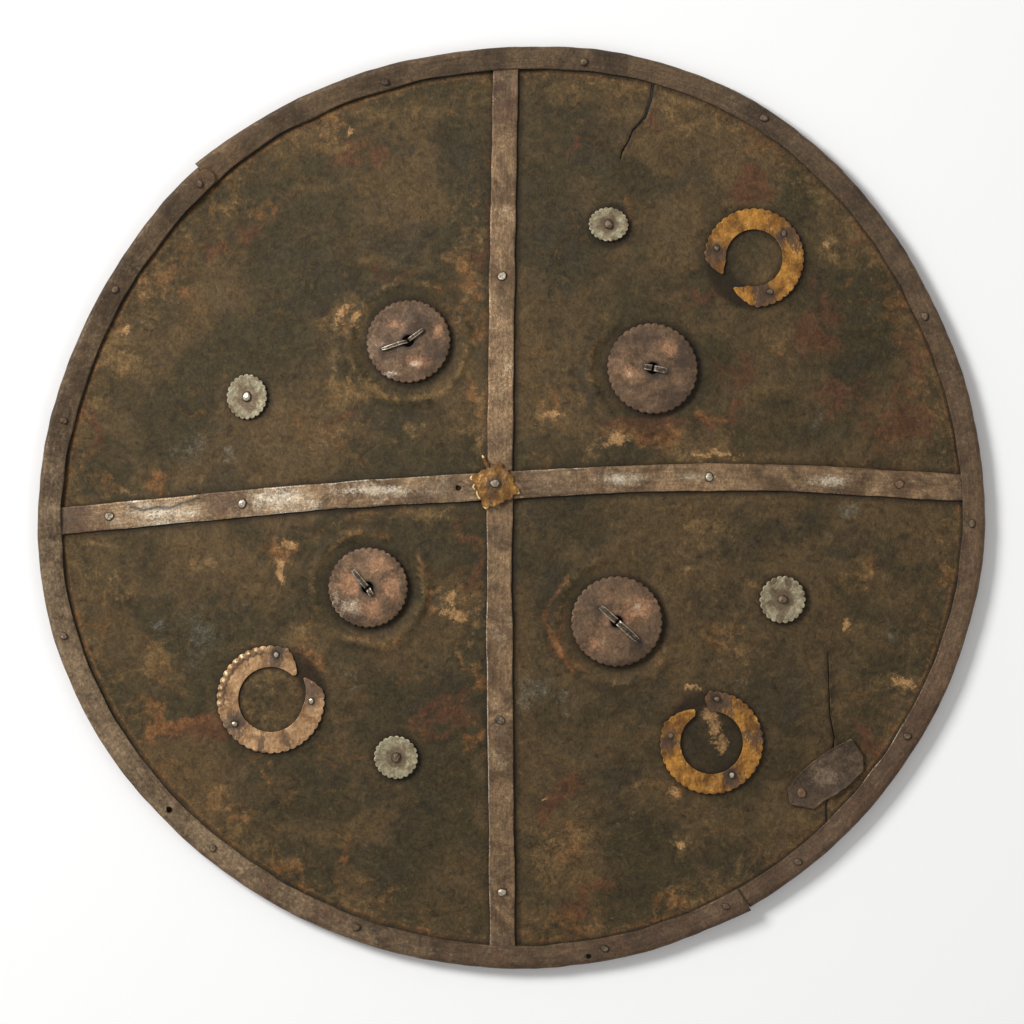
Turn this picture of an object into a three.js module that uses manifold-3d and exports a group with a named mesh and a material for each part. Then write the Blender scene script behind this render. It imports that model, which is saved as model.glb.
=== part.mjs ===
import * as THREE from "three";
import { mergeVertices } from "three/addons/utils/BufferGeometryUtils.js";
import Module from "manifold-3d";

// A round rawhide hand shield with an iron rim, lying on its back with its face up.
// Millimetres. +Z rises out of the face, +Y is the top of the face, z = 0 is the rim's flat back.
// A bearing is in degrees, counter-clockwise from +X.

const clearance = 0.3; // left between neighbouring pieces
const sliver = 0.02; // facets thinner than this are merged after a cut

// The rim is an iron channel folded over the edge of the hide, in two lengths whose ends are lapped.
const rimRadius = 247.2; // mean radius of the outline
const rimSwells = [
  { waves: 1, height: 1.2, at: 4 },
  { waves: 2, height: 3.0, at: 12 },
  { waves: 3, height: 1.6, at: 69.5 },
  { waves: 5, height: 1.0, at: 58 },
  { waves: 6, height: 0.6, at: 2 },
]; // a hand-cut board is not a true circle
const rimFlange = 12.4; // width of the front and back flanges
const rimFlangeSwell = 0.5;
const rimFlangeSwellAt = 200;
const drawnFace = 234.8; // radius inside the rim for which the places on the face below are given
const rimSheet = 1.2; // thickness of the iron
const rimFold = 2.4; // how far the two outer corners are rounded off
const rimStep = 44; // spacing of its bends
const jointUpper = 132.6; // bearing of the joint at the upper left
const jointLower = 300.8; // bearing of the joint at the lower right
const lapLength = 15; // length that one end runs under the other
const lapEase = 18; // length over which the raised flange comes down again
const lapTip = 4; // how far the raised flange's round end passes the upper joint
const lapRoot = 4; // how far back a tongue is rooted in its flange
const lapTipSides = [
  { along: 0.5, across: 0 },
  { along: 1, across: 0.3 },
  { along: 1, across: 0.65 },
  { along: 0.5, across: 0.92 },
]; // corners of the round end, as shares of lapTip and of the flange
const upperEndSwell = { height: 2.4, run: 70 }; // where an end was beaten outwards over the other
const lowerEndSwell = { height: 1.8, run: 32 };

// The hide board is dished, with a flat brim under the rim.
const hideThickness = 4.5;
const hideEdgeGap = 1; // between the hide's edge and the inside of the rim
const dishRise = 32;
const dishRoundness = 1.3;
const dishSetback = 2; // from the rim's inner edge to the foot of the dish
const hideSegments = 34;
const hideRings = [0.26, 0.5, 0.7, 0.86, 0.95]; // as shares of the way to the edge

// The iron straps cross the face, from under the rim to under the rim.
const strapThickness = 1.0;
const strapTuck = 5; // length of each end under the rim
const strapStep = 24; // spacing of its bends
const uprightStrap = {
  width: 13.4,
  points: [
    [-3.4, 200],
    [-4.9, 110],
    [-5.9, 12],
    [-6.1, -70],
    [-5.0, -181],
  ],
};
const levelStrap = {
  width: 14.2,
  points: [
    [-200, -3.6],
    [-101, 5.6],
    [-21, 10.6],
    [74, 15.4],
    [144, 15.6],
    [205, 12.3],
  ],
};
const crossingRamp = 11; // length over which the level strap climbs over the upright one
const crossingX = -6.2;
const crossingMargin = 2; // flat length beyond the upright strap on both sides
const footStep = 8; // length of a strap's first bend beyond the foot of the dish
const pathStep = 0.25; // step of the search for a strap's end
const emptyStrapHole = { x: -27.8, radius: 1.5 };

// The brass rosette covers the crossing.
const rosetteThickness = 0.8;
const rosetteDish = 1.2; // its middle stands up by this much
const rosetteRoot = 9.6; // reach of the notches between its lobes
const rosettePlace = [-8.4, 12.6];
const rosetteLobes = [
  { at: 21, reach: 10.6 },
  { at: 47, reach: 10.8 },
  { at: 75, reach: 11.7 },
  { at: 97, reach: 10.6 },
  { at: 113, reach: 16.4 },
  { at: 140, reach: 10.8 },
  { at: 167, reach: 13.8 },
  { at: 190, reach: 12.0 },
  { at: 212, reach: 11.4 },
  { at: 232, reach: 11.6 },
  { at: 249, reach: 14.1 },
  { at: 268, reach: 12.2 },
  { at: 294, reach: 10.8 },
  { at: 315, reach: 11.8 },
  { at: 338, reach: 14.3 },
];

// Large domed washers, each with a split pin whose legs are spread on the face.
const washerSheet = 1.2;
const washerDome = 1.4;
const washerTeeth = 36;
const toothDepth = 0.9;
const pinStrip = 1.3; // thickness of the folded strip
const pinWidth = 3.2;
const pinEye = 10.4; // inner width of the eye behind the hide
const pinNeck = 3; // from the back of the hide to the eye
const pinBendRoom = 0.4; // room in its hole for the bends of its legs
const eyeSides = 6;
const eyeShoulder = 0.25; // radians left open on each side where the eye meets the neck
const sharpestMitre = 0.6; // keeps the points of the strip's tight bends short
const mouldingMoat = 5.5; // flat ground between a washer and the moulded ring round it
const mouldingWidth = 7;
const mouldingHeight = 1.3;
const mouldingRoot = 1; // how far a ring reaches down into the hide
const mouldingStep = 30; // degrees between its bends
const washers = [
  {
    name: "upper_left", x: -54, y: 87.4, radius: 22.2,
    legs: [{ at: 37, length: 10.1 }, { at: 198, length: 14.9 }],
    ring: { from: 0, to: 340 },
  },
  {
    name: "upper_right", x: 74.4, y: 73.1, radius: 24.1,
    legs: [{ at: 348, length: 7.6 }, { at: 172, length: 4.6 }],
    ring: { from: 150, to: 285 },
  },
  {
    name: "lower_left", x: -75.2, y: -42.1, radius: 21.2,
    legs: [{ at: 130, length: 12.4 }, { at: 300, length: 4.6 }],
    ring: { from: 60, to: 400 },
  },
  {
    name: "lower_right", x: 55.6, y: -59.9, radius: 24.1,
    legs: [{ at: 138, length: 11.9 }, { at: 318, length: 15.1 }],
    ring: { from: 95, to: 325 },
  },
];

// Small scalloped discs, each held by one rivet.
const discSheet = 1.0;
const discDish = 0.7; // its edge stands up by this much over its middle
const discTeeth = 22;
const discToothDepth = 0.7;
const discs = [
  { name: "top", x: 51.4, y: 149.1, radiusX: 10.6, radiusY: 9.2 },
  { name: "left", x: -139.1, y: 58.3, radiusX: 10.9, radiusY: 12.0 },
  { name: "bottom", x: -60.6, y: -131.6, radiusX: 11.7, radiusY: 11.7 },
  { name: "right", x: 143, y: -48.5, radiusX: 12.4, radiusY: 12.6 },
];

// Brass crescents. Each end has a tip, and the bearings where its outer and inner edges begin.
const crescentSheet = 0.8;
const crescentToothPitch = 4.9;
const crescentInnerStep = 24; // degrees between the bends of its inner edge
const crescents = [
  {
    name: "upper_right", x: 128.5, y: 131.9, outer: 25.9, inner: 15.6,
    start: { outerAt: 272, tipAt: 235.6, tipReach: 19.3, innerAt: 257 },
    end: { outerAt: 540, tipAt: 566.5, tipReach: 18.8, innerAt: 547 },
    nails: [[-20.1, 5], [15.5, 12.9], [8.1, -18.3]],
  },
  {
    name: "lower_left", x: -126.9, y: -101.4, outer: 28.1, inner: 17.7,
    start: { outerAt: 71, tipAt: 44.3, tipReach: 18.9, innerAt: 48 },
    end: { outerAt: 369, tipAt: 392.9, tipReach: 21.1, innerAt: 347 },
    nails: [[3.3, 23.9], [21.6, -0.5], [-18.9, -12.7]],
  },
  {
    name: "lower_right", x: 105.9, y: -124.2, outer: 26.9, inner: 17.1,
    start: { outerAt: 158, tipAt: 117, tipReach: 19.4, innerAt: 122 },
    end: { outerAt: 453, tipAt: 459, tipReach: 23.5, innerAt: 455 },
    nails: [[-21.9, 4], [10.5, -16.9], [2.6, 23.3]],
  },
];

// An iron plate patches the crack at the lower right. Its corners run round it from the lower left.
const plateThickness = 1.1;
const plateCorners = [
  [147.5, -157.3],
  [160.5, -159.7],
  [165.3, -155.5],
  [171.6, -152.3],
  [180.1, -146.0],
  [186.6, -139.2],
  [186.4, -131.6],
  [180.1, -122.1],
  [173.7, -125.3],
  [167.9, -128.4],
  [158.4, -135.3],
  [151.0, -142.2],
  [146.2, -149.6],
];
const plateRivetPlace = [153.4, -150.7];

// Cracks right through the hide: points down the middle, and the width at each end.
const cracks = [
  {
    points: [[75.6, 226], [73.9, 215.3], [71, 206.5], [64.1, 198.9], [62, 193.5], [58.8, 188.3], [57.7, 183.8]],
    widthAtStart: 1.6,
    widthAtEnd: 0.5,
  },
  {
    points: [[167.2, -171], [166.7, -158.1], [168.5, -147], [170.9, -121.6], [168.4, -109.4], [167.4, -76.5]],
    widthAtStart: 1.1,
    widthAtEnd: 0.4,
  },
];

// Rivets. Those of the rim are placed by bearing and by depth in from the outline.
const rimRivet = { head: 2.1, rise: 1.1, shank: 1.0 };
const strapRivet = { head: 2.5, rise: 1.1, shank: 1.1 };
const discRivet = { head: 2.7, rise: 1.5, shank: 1.1 };
const nail = { head: 1.7, rise: 0.9, shank: 0.8 };
const nailLength = 3.5; // length of a crescent's nail below the brass
const peenHeight = 0.7; // height of a rivet's beaten end on the back of the hide
const rivetSlack = 0.4; // spare length of a rivet's shank behind the hide
const rivetSides = 6;
const cutBeyond = 3; // how far a cut runs on past what it goes through
const rimRivets = [
  { bearing: 24.8, depth: 7.5 },
  { bearing: 57, depth: 5.2 },
  { bearing: 80.7, depth: 7.2 },
  { bearing: 106.5, depth: 8.2 },
  { bearing: jointUpper + 1.3, depth: 7.0 },
  { bearing: 151.2, depth: 6.0 },
  { bearing: 169, depth: 6.9 },
  { bearing: 196, depth: 5.2 },
  { bearing: 228.8, depth: 6.4 },
  { bearing: 249.8, depth: 6.9 },
  { bearing: 282, depth: 6.6 },
  { bearing: jointLower - 2.5, depth: 6.9 },
  { bearing: 309, depth: 6.0 },
  { bearing: 330, depth: 6.9 },
  { bearing: 358, depth: 6.9 },
];
const emptyNailHole = { bearing: 221.5, depth: 5.8, radius: 1.4 };
const rimBoreHole = { bearing: 279.8, depth: 3.9, radius: 1.3 }; // right through rim and hide
const strapRivets = {
  vertical: [121.6, -111.8, -203.1], // heights up the upright strap
  horizontal: [-212.1, -141.6, 104.1, 205], // distances along the level strap
};

// What follows is worked out from the sizes above.

const wasm = await Module();
wasm.setup();

const radians = THREE.MathUtils.degToRad;
const lapStep = rimSheet + clearance; // one flange lying over another
const hideBack = rimSheet + clearance; // height of the brim's back
const hideFace = hideBack + hideThickness;
const channelHeight = hideFace + clearance + strapThickness + clearance + rimSheet;
const innerFold = rimFold + rimSheet * (Math.SQRT2 - 1); // the fold's inner corner, one sheet in
const hideSetIn = innerFold + hideEdgeGap; // from the outline to the hide's edge
const spread = (rimRadius - rimFlange) / drawnFace; // the fittings keep their share of the way out

// Moves each vertex of a geometry to the place that a rule gives for it.
function reshape(geometry, rule) {
  const places = geometry.getAttribute("position");
  const point = new THREE.Vector3();
  for (let i = 0; i < places.count; i += 1) {
    point.fromBufferAttribute(places, i);
    const moved = rule(point.x, point.y, point.z);
    places.setXYZ(i, moved[0], moved[1], moved[2]);
  }
  return geometry;
}

function solidOf(geometry) {
  const bare = geometry.clone();
  bare.deleteAttribute("normal");
  bare.deleteAttribute("uv");
  const merged = mergeVertices(bare, 1e-4);
  return new wasm.Manifold(
    new wasm.Mesh({
      numProp: 3,
      vertProperties: new Float32Array(merged.getAttribute("position").array),
      triVerts: new Uint32Array(merged.index.array),
    }),
  );
}

function geometryOf(solid) {
  const made = solid.getMesh();
  const geometry = new THREE.BufferGeometry();
  geometry.setAttribute("position", new THREE.BufferAttribute(made.vertProperties, 3));
  geometry.setIndex(new THREE.BufferAttribute(made.triVerts, 1));
  geometry.computeVertexNormals();
  return geometry;
}

function cutAway(geometry, cutters) {
  let solid = solidOf(geometry);
  for (const cutter of cutters) {
    solid = solid.subtract(solidOf(cutter));
  }
  return geometryOf(solid.asOriginal().simplify(sliver));
}

// The outline: a mean radius with a few slow swells.
function outlineRadius(bearing) {
  let radius = rimRadius;
  for (const swell of rimSwells) {
    radius += swell.height * Math.cos(radians(swell.waves * (bearing - swell.at)));
  }
  return radius;
}

function flangeWidth(bearing) {
  return rimFlange + rimFlangeSwell * Math.cos(radians(bearing - rimFlangeSwellAt));
}

function bearingOf(x, y) {
  return THREE.MathUtils.radToDeg(Math.atan2(y, x));
}

function polar(bearing, radius) {
  return [radius * Math.cos(radians(bearing)), radius * Math.sin(radians(bearing))];
}

// Height of the hide's face over the plan: flat under the rim, then one smooth dome.
function faceHeight(x, y) {
  const bearing = bearingOf(x, y);
  const foot = outlineRadius(bearing) - flangeWidth(bearing) - dishSetback;
  const share = Math.min(1, Math.hypot(x, y) / foot);
  return hideFace + dishRise * (1 - share ** 2) ** dishRoundness;
}

function faceNormal(x, y) {
  const reach = 1;
  const slopeX = (faceHeight(x + reach, y) - faceHeight(x - reach, y)) / (2 * reach);
  const slopeY = (faceHeight(x, y + reach) - faceHeight(x, y - reach)) / (2 * reach);
  return new THREE.Vector3(-slopeX, -slopeY, 1).normalize();
}

// A frame standing on the face at a place in the plan, square to the surface.
function standing(x, y, lift) {
  const up = faceNormal(x, y);
  const turn = new THREE.Quaternion().setFromUnitVectors(new THREE.Vector3(0, 0, 1), up);
  const foot = new THREE.Vector3(x, y, faceHeight(x, y)).addScaledVector(up, lift);
  return new THREE.Matrix4().compose(foot, turn, new THREE.Vector3(1, 1, 1));
}

function onFace(x, y, z) {
  return [x, y, faceHeight(x, y) + z];
}

function bar(radius, from, to) {
  const geometry = new THREE.CylinderGeometry(radius, radius, to - from, rivetSides);
  return geometry.rotateX(Math.PI / 2).translate(0, 0, (from + to) / 2);
}

// A rivet: a low pointed head above z = 0, its shank down to z = -reach, and a beaten end if asked.
function rivetGeometry(size, reach, peened) {
  const profile = [[0, -reach], [size.shank, -reach], [size.shank, 0], [size.head, 0], [0, size.rise]];
  if (peened) {
    profile.splice(0, 2, [0, -reach - peenHeight], [size.head, -reach], [size.shank, -reach]);
  }
  const points = profile.map(([x, y]) => new THREE.Vector2(x, y));
  return new THREE.LatheGeometry(points, rivetSides).rotateX(Math.PI / 2);
}

// The square hole punched for a rivet, with the clearance all round.
function rivetHole(size, from, to) {
  const width = 2 * (size.shank + clearance);
  return new THREE.BoxGeometry(width, width, to - from).translate(0, 0, (from + to) / 2);
}

// A disc's outline with round teeth, as a ring of tips and notches.
function toothedRing(teeth, radius, depth) {
  const ring = [];
  for (let i = 0; i < 2 * teeth; i += 1) {
    const reach = i % 2 === 0 ? radius : radius - depth;
    const turn = (Math.PI * i) / teeth;
    ring.push(new THREE.Vector2(reach * Math.cos(turn), reach * Math.sin(turn)));
  }
  return ring;
}

function roundHole(radius, sides) {
  const hole = new THREE.Path();
  for (let i = 0; i < sides; i += 1) {
    const turn = (-2 * Math.PI * i) / sides;
    const x = radius * Math.cos(turn);
    const y = radius * Math.sin(turn);
    if (i === 0) {
      hole.moveTo(x, y);
    } else {
      hole.lineTo(x, y);
    }
  }
  return hole;
}

function extrude(shape, depth) {
  return new THREE.ExtrudeGeometry(shape, { depth, bevelEnabled: false });
}

const shield = new THREE.Group();

function addPiece(name, geometry, material, place) {
  const mesh = new THREE.Mesh(geometry, material);
  mesh.name = name;
  if (place) {
    mesh.applyMatrix4(place);
  }
  shield.add(mesh);
}

const finish = (color, roughness, metalness) =>
  new THREE.MeshStandardMaterial({ color, roughness, metalness });
const rimIron = finish(0x5f5243, 0.62, 0.75);
const strapIron = finish(0x77685a, 0.48, 0.85);
const washerIron = finish(0x63503f, 0.6, 0.7);
const rivetIron = finish(0x8a7d6c, 0.5, 0.85);
const paleMetal = finish(0x787a66, 0.6, 0.6);
const brass = finish(0xa8823f, 0.5, 0.85);
const hide = finish(0x453c2b, 0.72, 0.0);

// Holes that pass through the hide are gathered here as each fitting is made.
const hideCutters = [];

// Rim rivets come first, because rim and hide are cut for them.

// How far the lower length's front flange is raised to lie over the upper length's ends.
function flangeLift(bearing) {
  const fromEnd = Math.min(bearing - jointUpper, jointLower - bearing);
  const along = radians(fromEnd) * rimRadius;
  const raised = lapLength + clearance;
  return lapStep * THREE.MathUtils.clamp(1 - (along - raised) / lapEase, 0, 1);
}

function onLowerRim(bearing) {
  return bearing > jointUpper && bearing < jointLower;
}

const rimCutters = rimRivets.map(({ bearing, depth }, index) => {
  const [x, y] = polar(bearing, outlineRadius(bearing) - depth);
  const top = channelHeight + (onLowerRim(bearing) ? flangeLift(bearing) : 0);
  const foot = new THREE.Matrix4().makeTranslation(x, y, top + clearance);
  const length = top + clearance - clearance / 2;
  const number = String(index + 1).padStart(2, "0");
  addPiece(`rim_rivet_${number}`, rivetGeometry(rimRivet, length, false), rivetIron, foot);
  return rivetHole(rimRivet, -cutBeyond, top + cutBeyond).translate(x, y, 0);
});

function rimHole({ bearing, depth, radius }, from) {
  const [x, y] = polar(bearing, outlineRadius(bearing) - depth);
  return bar(radius, from, channelHeight + lapStep + cutBeyond).translate(x, y, 0);
}

rimCutters.push(rimHole(emptyNailHole, hideBack - clearance / 2));
rimCutters.push(rimHole(rimBoreHole, -cutBeyond));
hideCutters.push(...rimCutters);

// Marks from the first to the last of a list, with evenly spaced ones added between them.
function spreadMarks(marks, spacing) {
  const stations = [];
  for (let i = 0; i < marks.length - 1; i += 1) {
    const span = marks[i + 1] - marks[i];
    const count = Math.max(1, Math.round(span / spacing));
    for (let k = 0; k < count; k += 1) {
      stations.push(marks[i] + (span * k) / count);
    }
  }
  return [...stations, marks.at(-1)];
}

// One length of the rim: the channel's section is drawn flat, carried along z through its bearings,
// and then bent round the outline. In the section x runs inwards and y runs up.
function bentRound(section, bearings, endSwell, lifted) {
  const steps = bearings.length - 1;
  const to = bearings.at(-1);
  const flat = new THREE.ExtrudeGeometry(section, { depth: steps, steps, bevelEnabled: false });
  return reshape(flat, (inward, up, along) => {
    const bearing = bearings[Math.round(along)];
    const beforeEnd = radians(to - bearing) * rimRadius;
    const swellShare = THREE.MathUtils.clamp(1 - beforeEnd / endSwell.run, 0, 1);
    const width = flangeWidth(bearing) / rimFlange;
    const depth = inward > rimFold ? rimFold + (inward - rimFold) * width : inward;
    const swell = inward > rimFold ? 0 : endSwell.height * swellShare ** 2;
    const [x, y] = polar(bearing, outlineRadius(bearing) - depth + swell);
    const onFront = up > channelHeight / 2;
    return [x, y, up + (onFront && lifted ? flangeLift(bearing) : 0)];
  });
}

function channelSection() {
  const top = channelHeight;
  return new THREE.Shape(
    [
      [rimFlange, 0],
      [rimFlange, rimSheet],
      [innerFold, rimSheet],
      [rimSheet, innerFold],
      [rimSheet, top - innerFold],
      [innerFold, top - rimSheet],
      [rimFlange, top - rimSheet],
      [rimFlange, top],
      [rimFold, top],
      [0, top - rimFold],
      [0, rimFold],
      [rimFold, 0],
    ].map(([x, y]) => new THREE.Vector2(x, y)),
  );
}

// The part of a front flange that runs on past the channel's end.
function tongueSection() {
  return new THREE.Shape(
    [
      [hideSetIn, channelHeight - rimSheet],
      [rimFlange, channelHeight - rimSheet],
      [rimFlange, channelHeight],
      [hideSetIn, channelHeight],
    ].map(([x, y]) => new THREE.Vector2(x, y)),
  );
}

const degreesPer = (length) => THREE.MathUtils.radToDeg(length / rimRadius);
const noSwell = { height: 0, run: 1 };

// Bearings of the bends in one length, with a mark where each lap ends and where its ease ends.
function rimBearings(from, to) {
  const lap = degreesPer(lapLength + clearance);
  const eased = lap + degreesPer(lapEase);
  const marks = [from, from + lap, from + eased, to - eased, to - lap, to];
  return spreadMarks(marks, degreesPer(rimStep));
}

function rimUpper() {
  const from = jointLower - 360 + degreesPer(clearance);
  const to = jointUpper;
  const root = degreesPer(lapRoot);
  const reach = degreesPer(lapLength);
  const channel = bentRound(channelSection(), rimBearings(from, to), upperEndSwell, false);
  const ahead = bentRound(tongueSection(), [to - root, to + reach], noSwell, false);
  const behind = bentRound(tongueSection(), [from - reach, from + root], noSwell, false);
  const solid = solidOf(channel).add(solidOf(ahead)).add(solidOf(behind));
  return cutAway(geometryOf(solid), rimCutters);
}

function rimLower() {
  const from = jointUpper + degreesPer(clearance);
  const bearings = rimBearings(from, jointLower);
  let solid = solidOf(bentRound(channelSection(), bearings, lowerEndSwell, true));
  // The raised flange's end is cut to four sides of a rounded tongue, over the upper length.
  const acrossFlange = (share) => THREE.MathUtils.lerp(rimFold, rimFlange, share);
  const tip = new THREE.Shape();
  tip.moveTo(lapRoot, acrossFlange(0));
  for (const { along, across } of lapTipSides) {
    tip.lineTo(-lapTip * along, acrossFlange(across));
  }
  tip.lineTo(lapRoot, acrossFlange(1));
  const sole = channelHeight - rimSheet + lapStep;
  const tongue = reshape(extrude(tip, rimSheet), (along, inward, up) => {
    const bearing = from + degreesPer(along);
    const [x, y] = polar(bearing, outlineRadius(bearing) - inward);
    return [x, y, sole + up];
  });
  solid = solid.add(solidOf(tongue));
  return cutAway(geometryOf(solid), rimCutters);
}

addPiece("rim_upper", rimUpper(), rimIron);
addPiece("rim_lower", rimLower(), rimIron);

// A rivet through a fitting and the hide, square to the face, with its end beaten over behind.
function throughRivet(name, size, x, y, lift) {
  const place = standing(x, y, lift + clearance);
  const reach = lift + clearance + hideThickness + clearance + rivetSlack;
  addPiece(name, rivetGeometry(size, reach, true), rivetIron, place);
  const hole = rivetHole(size, -reach - cutBeyond, cutBeyond).applyMatrix4(place);
  hideCutters.push(hole);
  return hole;
}

// A strap's middle line: a curve through its points, run on at both ends until it is under the rim.
function strapPath(points) {
  const middle = points.map(([x, y]) => new THREE.Vector2(x * spread, y * spread));
  const first = middle[0].clone().sub(middle[1]).normalize();
  const last = middle.at(-1).clone().sub(middle.at(-2)).normalize();
  const runOut = (end, heading) => {
    let length = 0;
    const tip = end.clone();
    while (reachLeft(tip) > -strapTuck && length < rimRadius) {
      length += pathStep;
      tip.copy(end).addScaledVector(heading, length);
    }
    return tip;
  };
  return new THREE.SplineCurve([runOut(middle[0], first), ...middle, runOut(middle.at(-1), last)]);
}

// Distance from a point to the rim's inner edge.
function reachLeft(point) {
  const bearing = bearingOf(point.x, point.y);
  return outlineRadius(bearing) - flangeWidth(bearing) - point.length();
}

// A flat bar laid along a path over the face. It climbs by rise where it crosses another strap.
// Its bends are marked at the foot of the dish and on both sides of the crossing.
function strapGeometry(path, width, crossing, halfWidth, rise) {
  const length = path.getLength();
  const foot = strapTuck + dishSetback;
  const near = [-halfWidth - crossingRamp, -halfWidth, halfWidth, halfWidth + crossingRamp];
  const crossingMarks = rise > 0 ? near.map((offset) => crossing + offset) : [];
  const marks = [0, foot, foot + footStep, ...crossingMarks];
  const stations = spreadMarks([...marks, length - foot - footStep, length - foot, length], strapStep);
  const count = stations.length - 1;
  const flat = new THREE.BoxGeometry(count, width, strapThickness, count, 1, 1);
  return reshape(flat, (x, y, z) => {
    const station = stations[Math.round(x + count / 2)];
    const share = Math.min(1, station / length);
    const middle = path.getPointAt(share);
    const heading = path.getTangentAt(share);
    const across = new THREE.Vector2(-heading.y, heading.x);
    const spot = middle.addScaledVector(across, y);
    const away = Math.abs(station - crossing) - halfWidth;
    const climb = rise * THREE.MathUtils.clamp(1 - away / crossingRamp, 0, 1);
    return onFace(spot.x, spot.y, clearance + strapThickness / 2 + z + climb);
  });
}

// The place on a path where one coordinate has a given value, found by halving.
function placeWhere(path, axis, value) {
  let low = 0;
  let high = 1;
  const rising = path.getPointAt(1)[axis] > path.getPointAt(0)[axis];
  for (let i = 0; i < 40; i += 1) {
    const middle = (low + high) / 2;
    if (path.getPointAt(middle)[axis] < value === rising) {
      low = middle;
    } else {
      high = middle;
    }
  }
  return low;
}

const uprightPath = strapPath(uprightStrap.points);
const levelPath = strapPath(levelStrap.points);
const crossingShare = placeWhere(levelPath, "x", crossingX * spread);
const crossingAlongLevel = crossingShare * levelPath.getLength();
const climb = strapThickness + clearance;
const halfCrossing = uprightStrap.width / 2 + crossingMargin;

function strapHoles(kind, path, axis) {
  return strapRivets[kind].map((value, index) => {
    const spot = path.getPointAt(placeWhere(path, axis, value * spread));
    const name = `strap_rivet_${kind}_${index + 1}`;
    return throughRivet(name, strapRivet, spot.x, spot.y, clearance + strapThickness);
  });
}

const rosetteX = rosettePlace[0] * spread;
const rosetteY = rosettePlace[1] * spread;
const rosetteSole = 2 * (clearance + strapThickness) + clearance;
const rosetteTop = rosetteSole + rosetteThickness + rosetteDish;
const rosetteHole = throughRivet("rosette_rivet", discRivet, rosetteX, rosetteY, rosetteTop);
const uprightHoles = [...strapHoles("vertical", uprightPath, "y"), rosetteHole];
const levelHoles = [...strapHoles("horizontal", levelPath, "x"), rosetteHole];
const emptySpot = levelPath.getPointAt(placeWhere(levelPath, "x", emptyStrapHole.x * spread));
const emptyHole = bar(emptyStrapHole.radius, clearance / 2, clearance + strapThickness + cutBeyond);
levelHoles.push(emptyHole.applyMatrix4(standing(emptySpot.x, emptySpot.y, 0)));

const uprightBar = strapGeometry(uprightPath, uprightStrap.width, 0, 0, 0);
const levelBar = strapGeometry(levelPath, levelStrap.width, crossingAlongLevel, halfCrossing, climb);
// A rim rivet that meets a strap's foot under the rim goes through it too.
addPiece("strap_vertical", cutAway(uprightBar, [...uprightHoles, ...rimCutters]), strapIron);
addPiece("strap_horizontal", cutAway(levelBar, [...levelHoles, ...rimCutters]), strapIron);

// The rosette has lobes and notches by turns, and is bossed up in the middle.
function rosetteGeometry() {
  const ring = [];
  rosetteLobes.forEach((lobe, index) => {
    const next = rosetteLobes[(index + 1) % rosetteLobes.length];
    const nextAt = next.at > lobe.at ? next.at : next.at + 360;
    ring.push(new THREE.Vector2(...polar(lobe.at, lobe.reach)));
    ring.push(new THREE.Vector2(...polar((lobe.at + nextAt) / 2, rosetteRoot)));
  });
  const shape = new THREE.Shape(ring);
  const holeSides = 8;
  const holeRadius = (discRivet.shank + clearance) / Math.cos(Math.PI / holeSides) + clearance;
  shape.holes.push(roundHole(holeRadius, holeSides));
  return reshape(extrude(shape, rosetteThickness), (x, y, z) => {
    const share = Math.hypot(x, y) / rosetteRoot;
    const boss = rosetteDish * Math.max(0, 1 - share ** 2);
    return onFace(x + rosetteX, y + rosetteY, rosetteSole + boss + z);
  });
}

addPiece("rosette", rosetteGeometry(), brass);

// Washers and split pins.

const pinHalf = pinStrip + clearance / 2; // half the width of the two shanks side by side
const pinHoleSides = 8;
const pinHoleRadius =
  (Math.hypot(pinHalf + pinBendRoom, pinWidth / 2) + clearance) / Math.cos(Math.PI / pinHoleSides);

function washerGeometry(radius) {
  const shape = new THREE.Shape(toothedRing(washerTeeth, radius, toothDepth));
  shape.holes.push(roundHole(pinHoleRadius, pinHoleSides));
  return reshape(extrude(shape, washerSheet), (x, y, z) => {
    const share = Math.hypot(x, y) / radius;
    return [x, y, z + washerDome * (1 - share ** 2)];
  });
}

// The pin is drawn as the side view of one folded strip: a leg, a shank, the eye, and back up.
function pinGeometry(washerRadius, legs) {
  const top = clearance + washerSheet + washerDome;
  const eyeRadius = (pinEye + pinStrip) / 2;
  const shankSide = (pinStrip + clearance) / 2;
  const neckDepth = -(2 * clearance + hideThickness + pinNeck);
  const opening = Math.asin(shankSide / eyeRadius);
  const eyeCentre = neckDepth - eyeRadius * Math.cos(opening);
  const middle = [
    [-legs[1].length, top + pinStrip / 2],
    [-shankSide - pinStrip, top + pinStrip / 2],
    [-shankSide, top - pinStrip / 2],
    [-shankSide, neckDepth + pinStrip],
  ];
  const eyeStart = opening + eyeShoulder;
  for (let i = 0; i <= eyeSides; i += 1) {
    const turn = Math.PI / 2 + eyeStart + (2 * (Math.PI - eyeStart) * i) / eyeSides;
    middle.push([eyeRadius * Math.cos(turn), eyeCentre + eyeRadius * Math.sin(turn)]);
  }
  middle.push(
    [shankSide, neckDepth + pinStrip],
    [shankSide, top - pinStrip / 2],
    [shankSide + pinStrip, top + pinStrip / 2],
    [legs[0].length, top + pinStrip / 2],
  );
  const shape = new THREE.Shape(bandRound(middle, pinStrip));
  const flat = extrude(shape, pinWidth).translate(0, 0, -pinWidth / 2).rotateX(Math.PI / 2);
  // Each leg lies down on the dome and is turned to its own bearing.
  return reshape(flat, (x, y, z) => {
    const bent = Math.abs(x) > pinHalf && z > top - pinStrip;
    const turn = radians(bent && x < 0 ? legs[1].at - 180 - legs[0].at : 0);
    const fall = bent ? washerDome * (x / washerRadius) ** 2 : 0;
    return [
      x * Math.cos(turn) - y * Math.sin(turn),
      x * Math.sin(turn) + y * Math.cos(turn),
      z - fall,
    ];
  });
}

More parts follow.
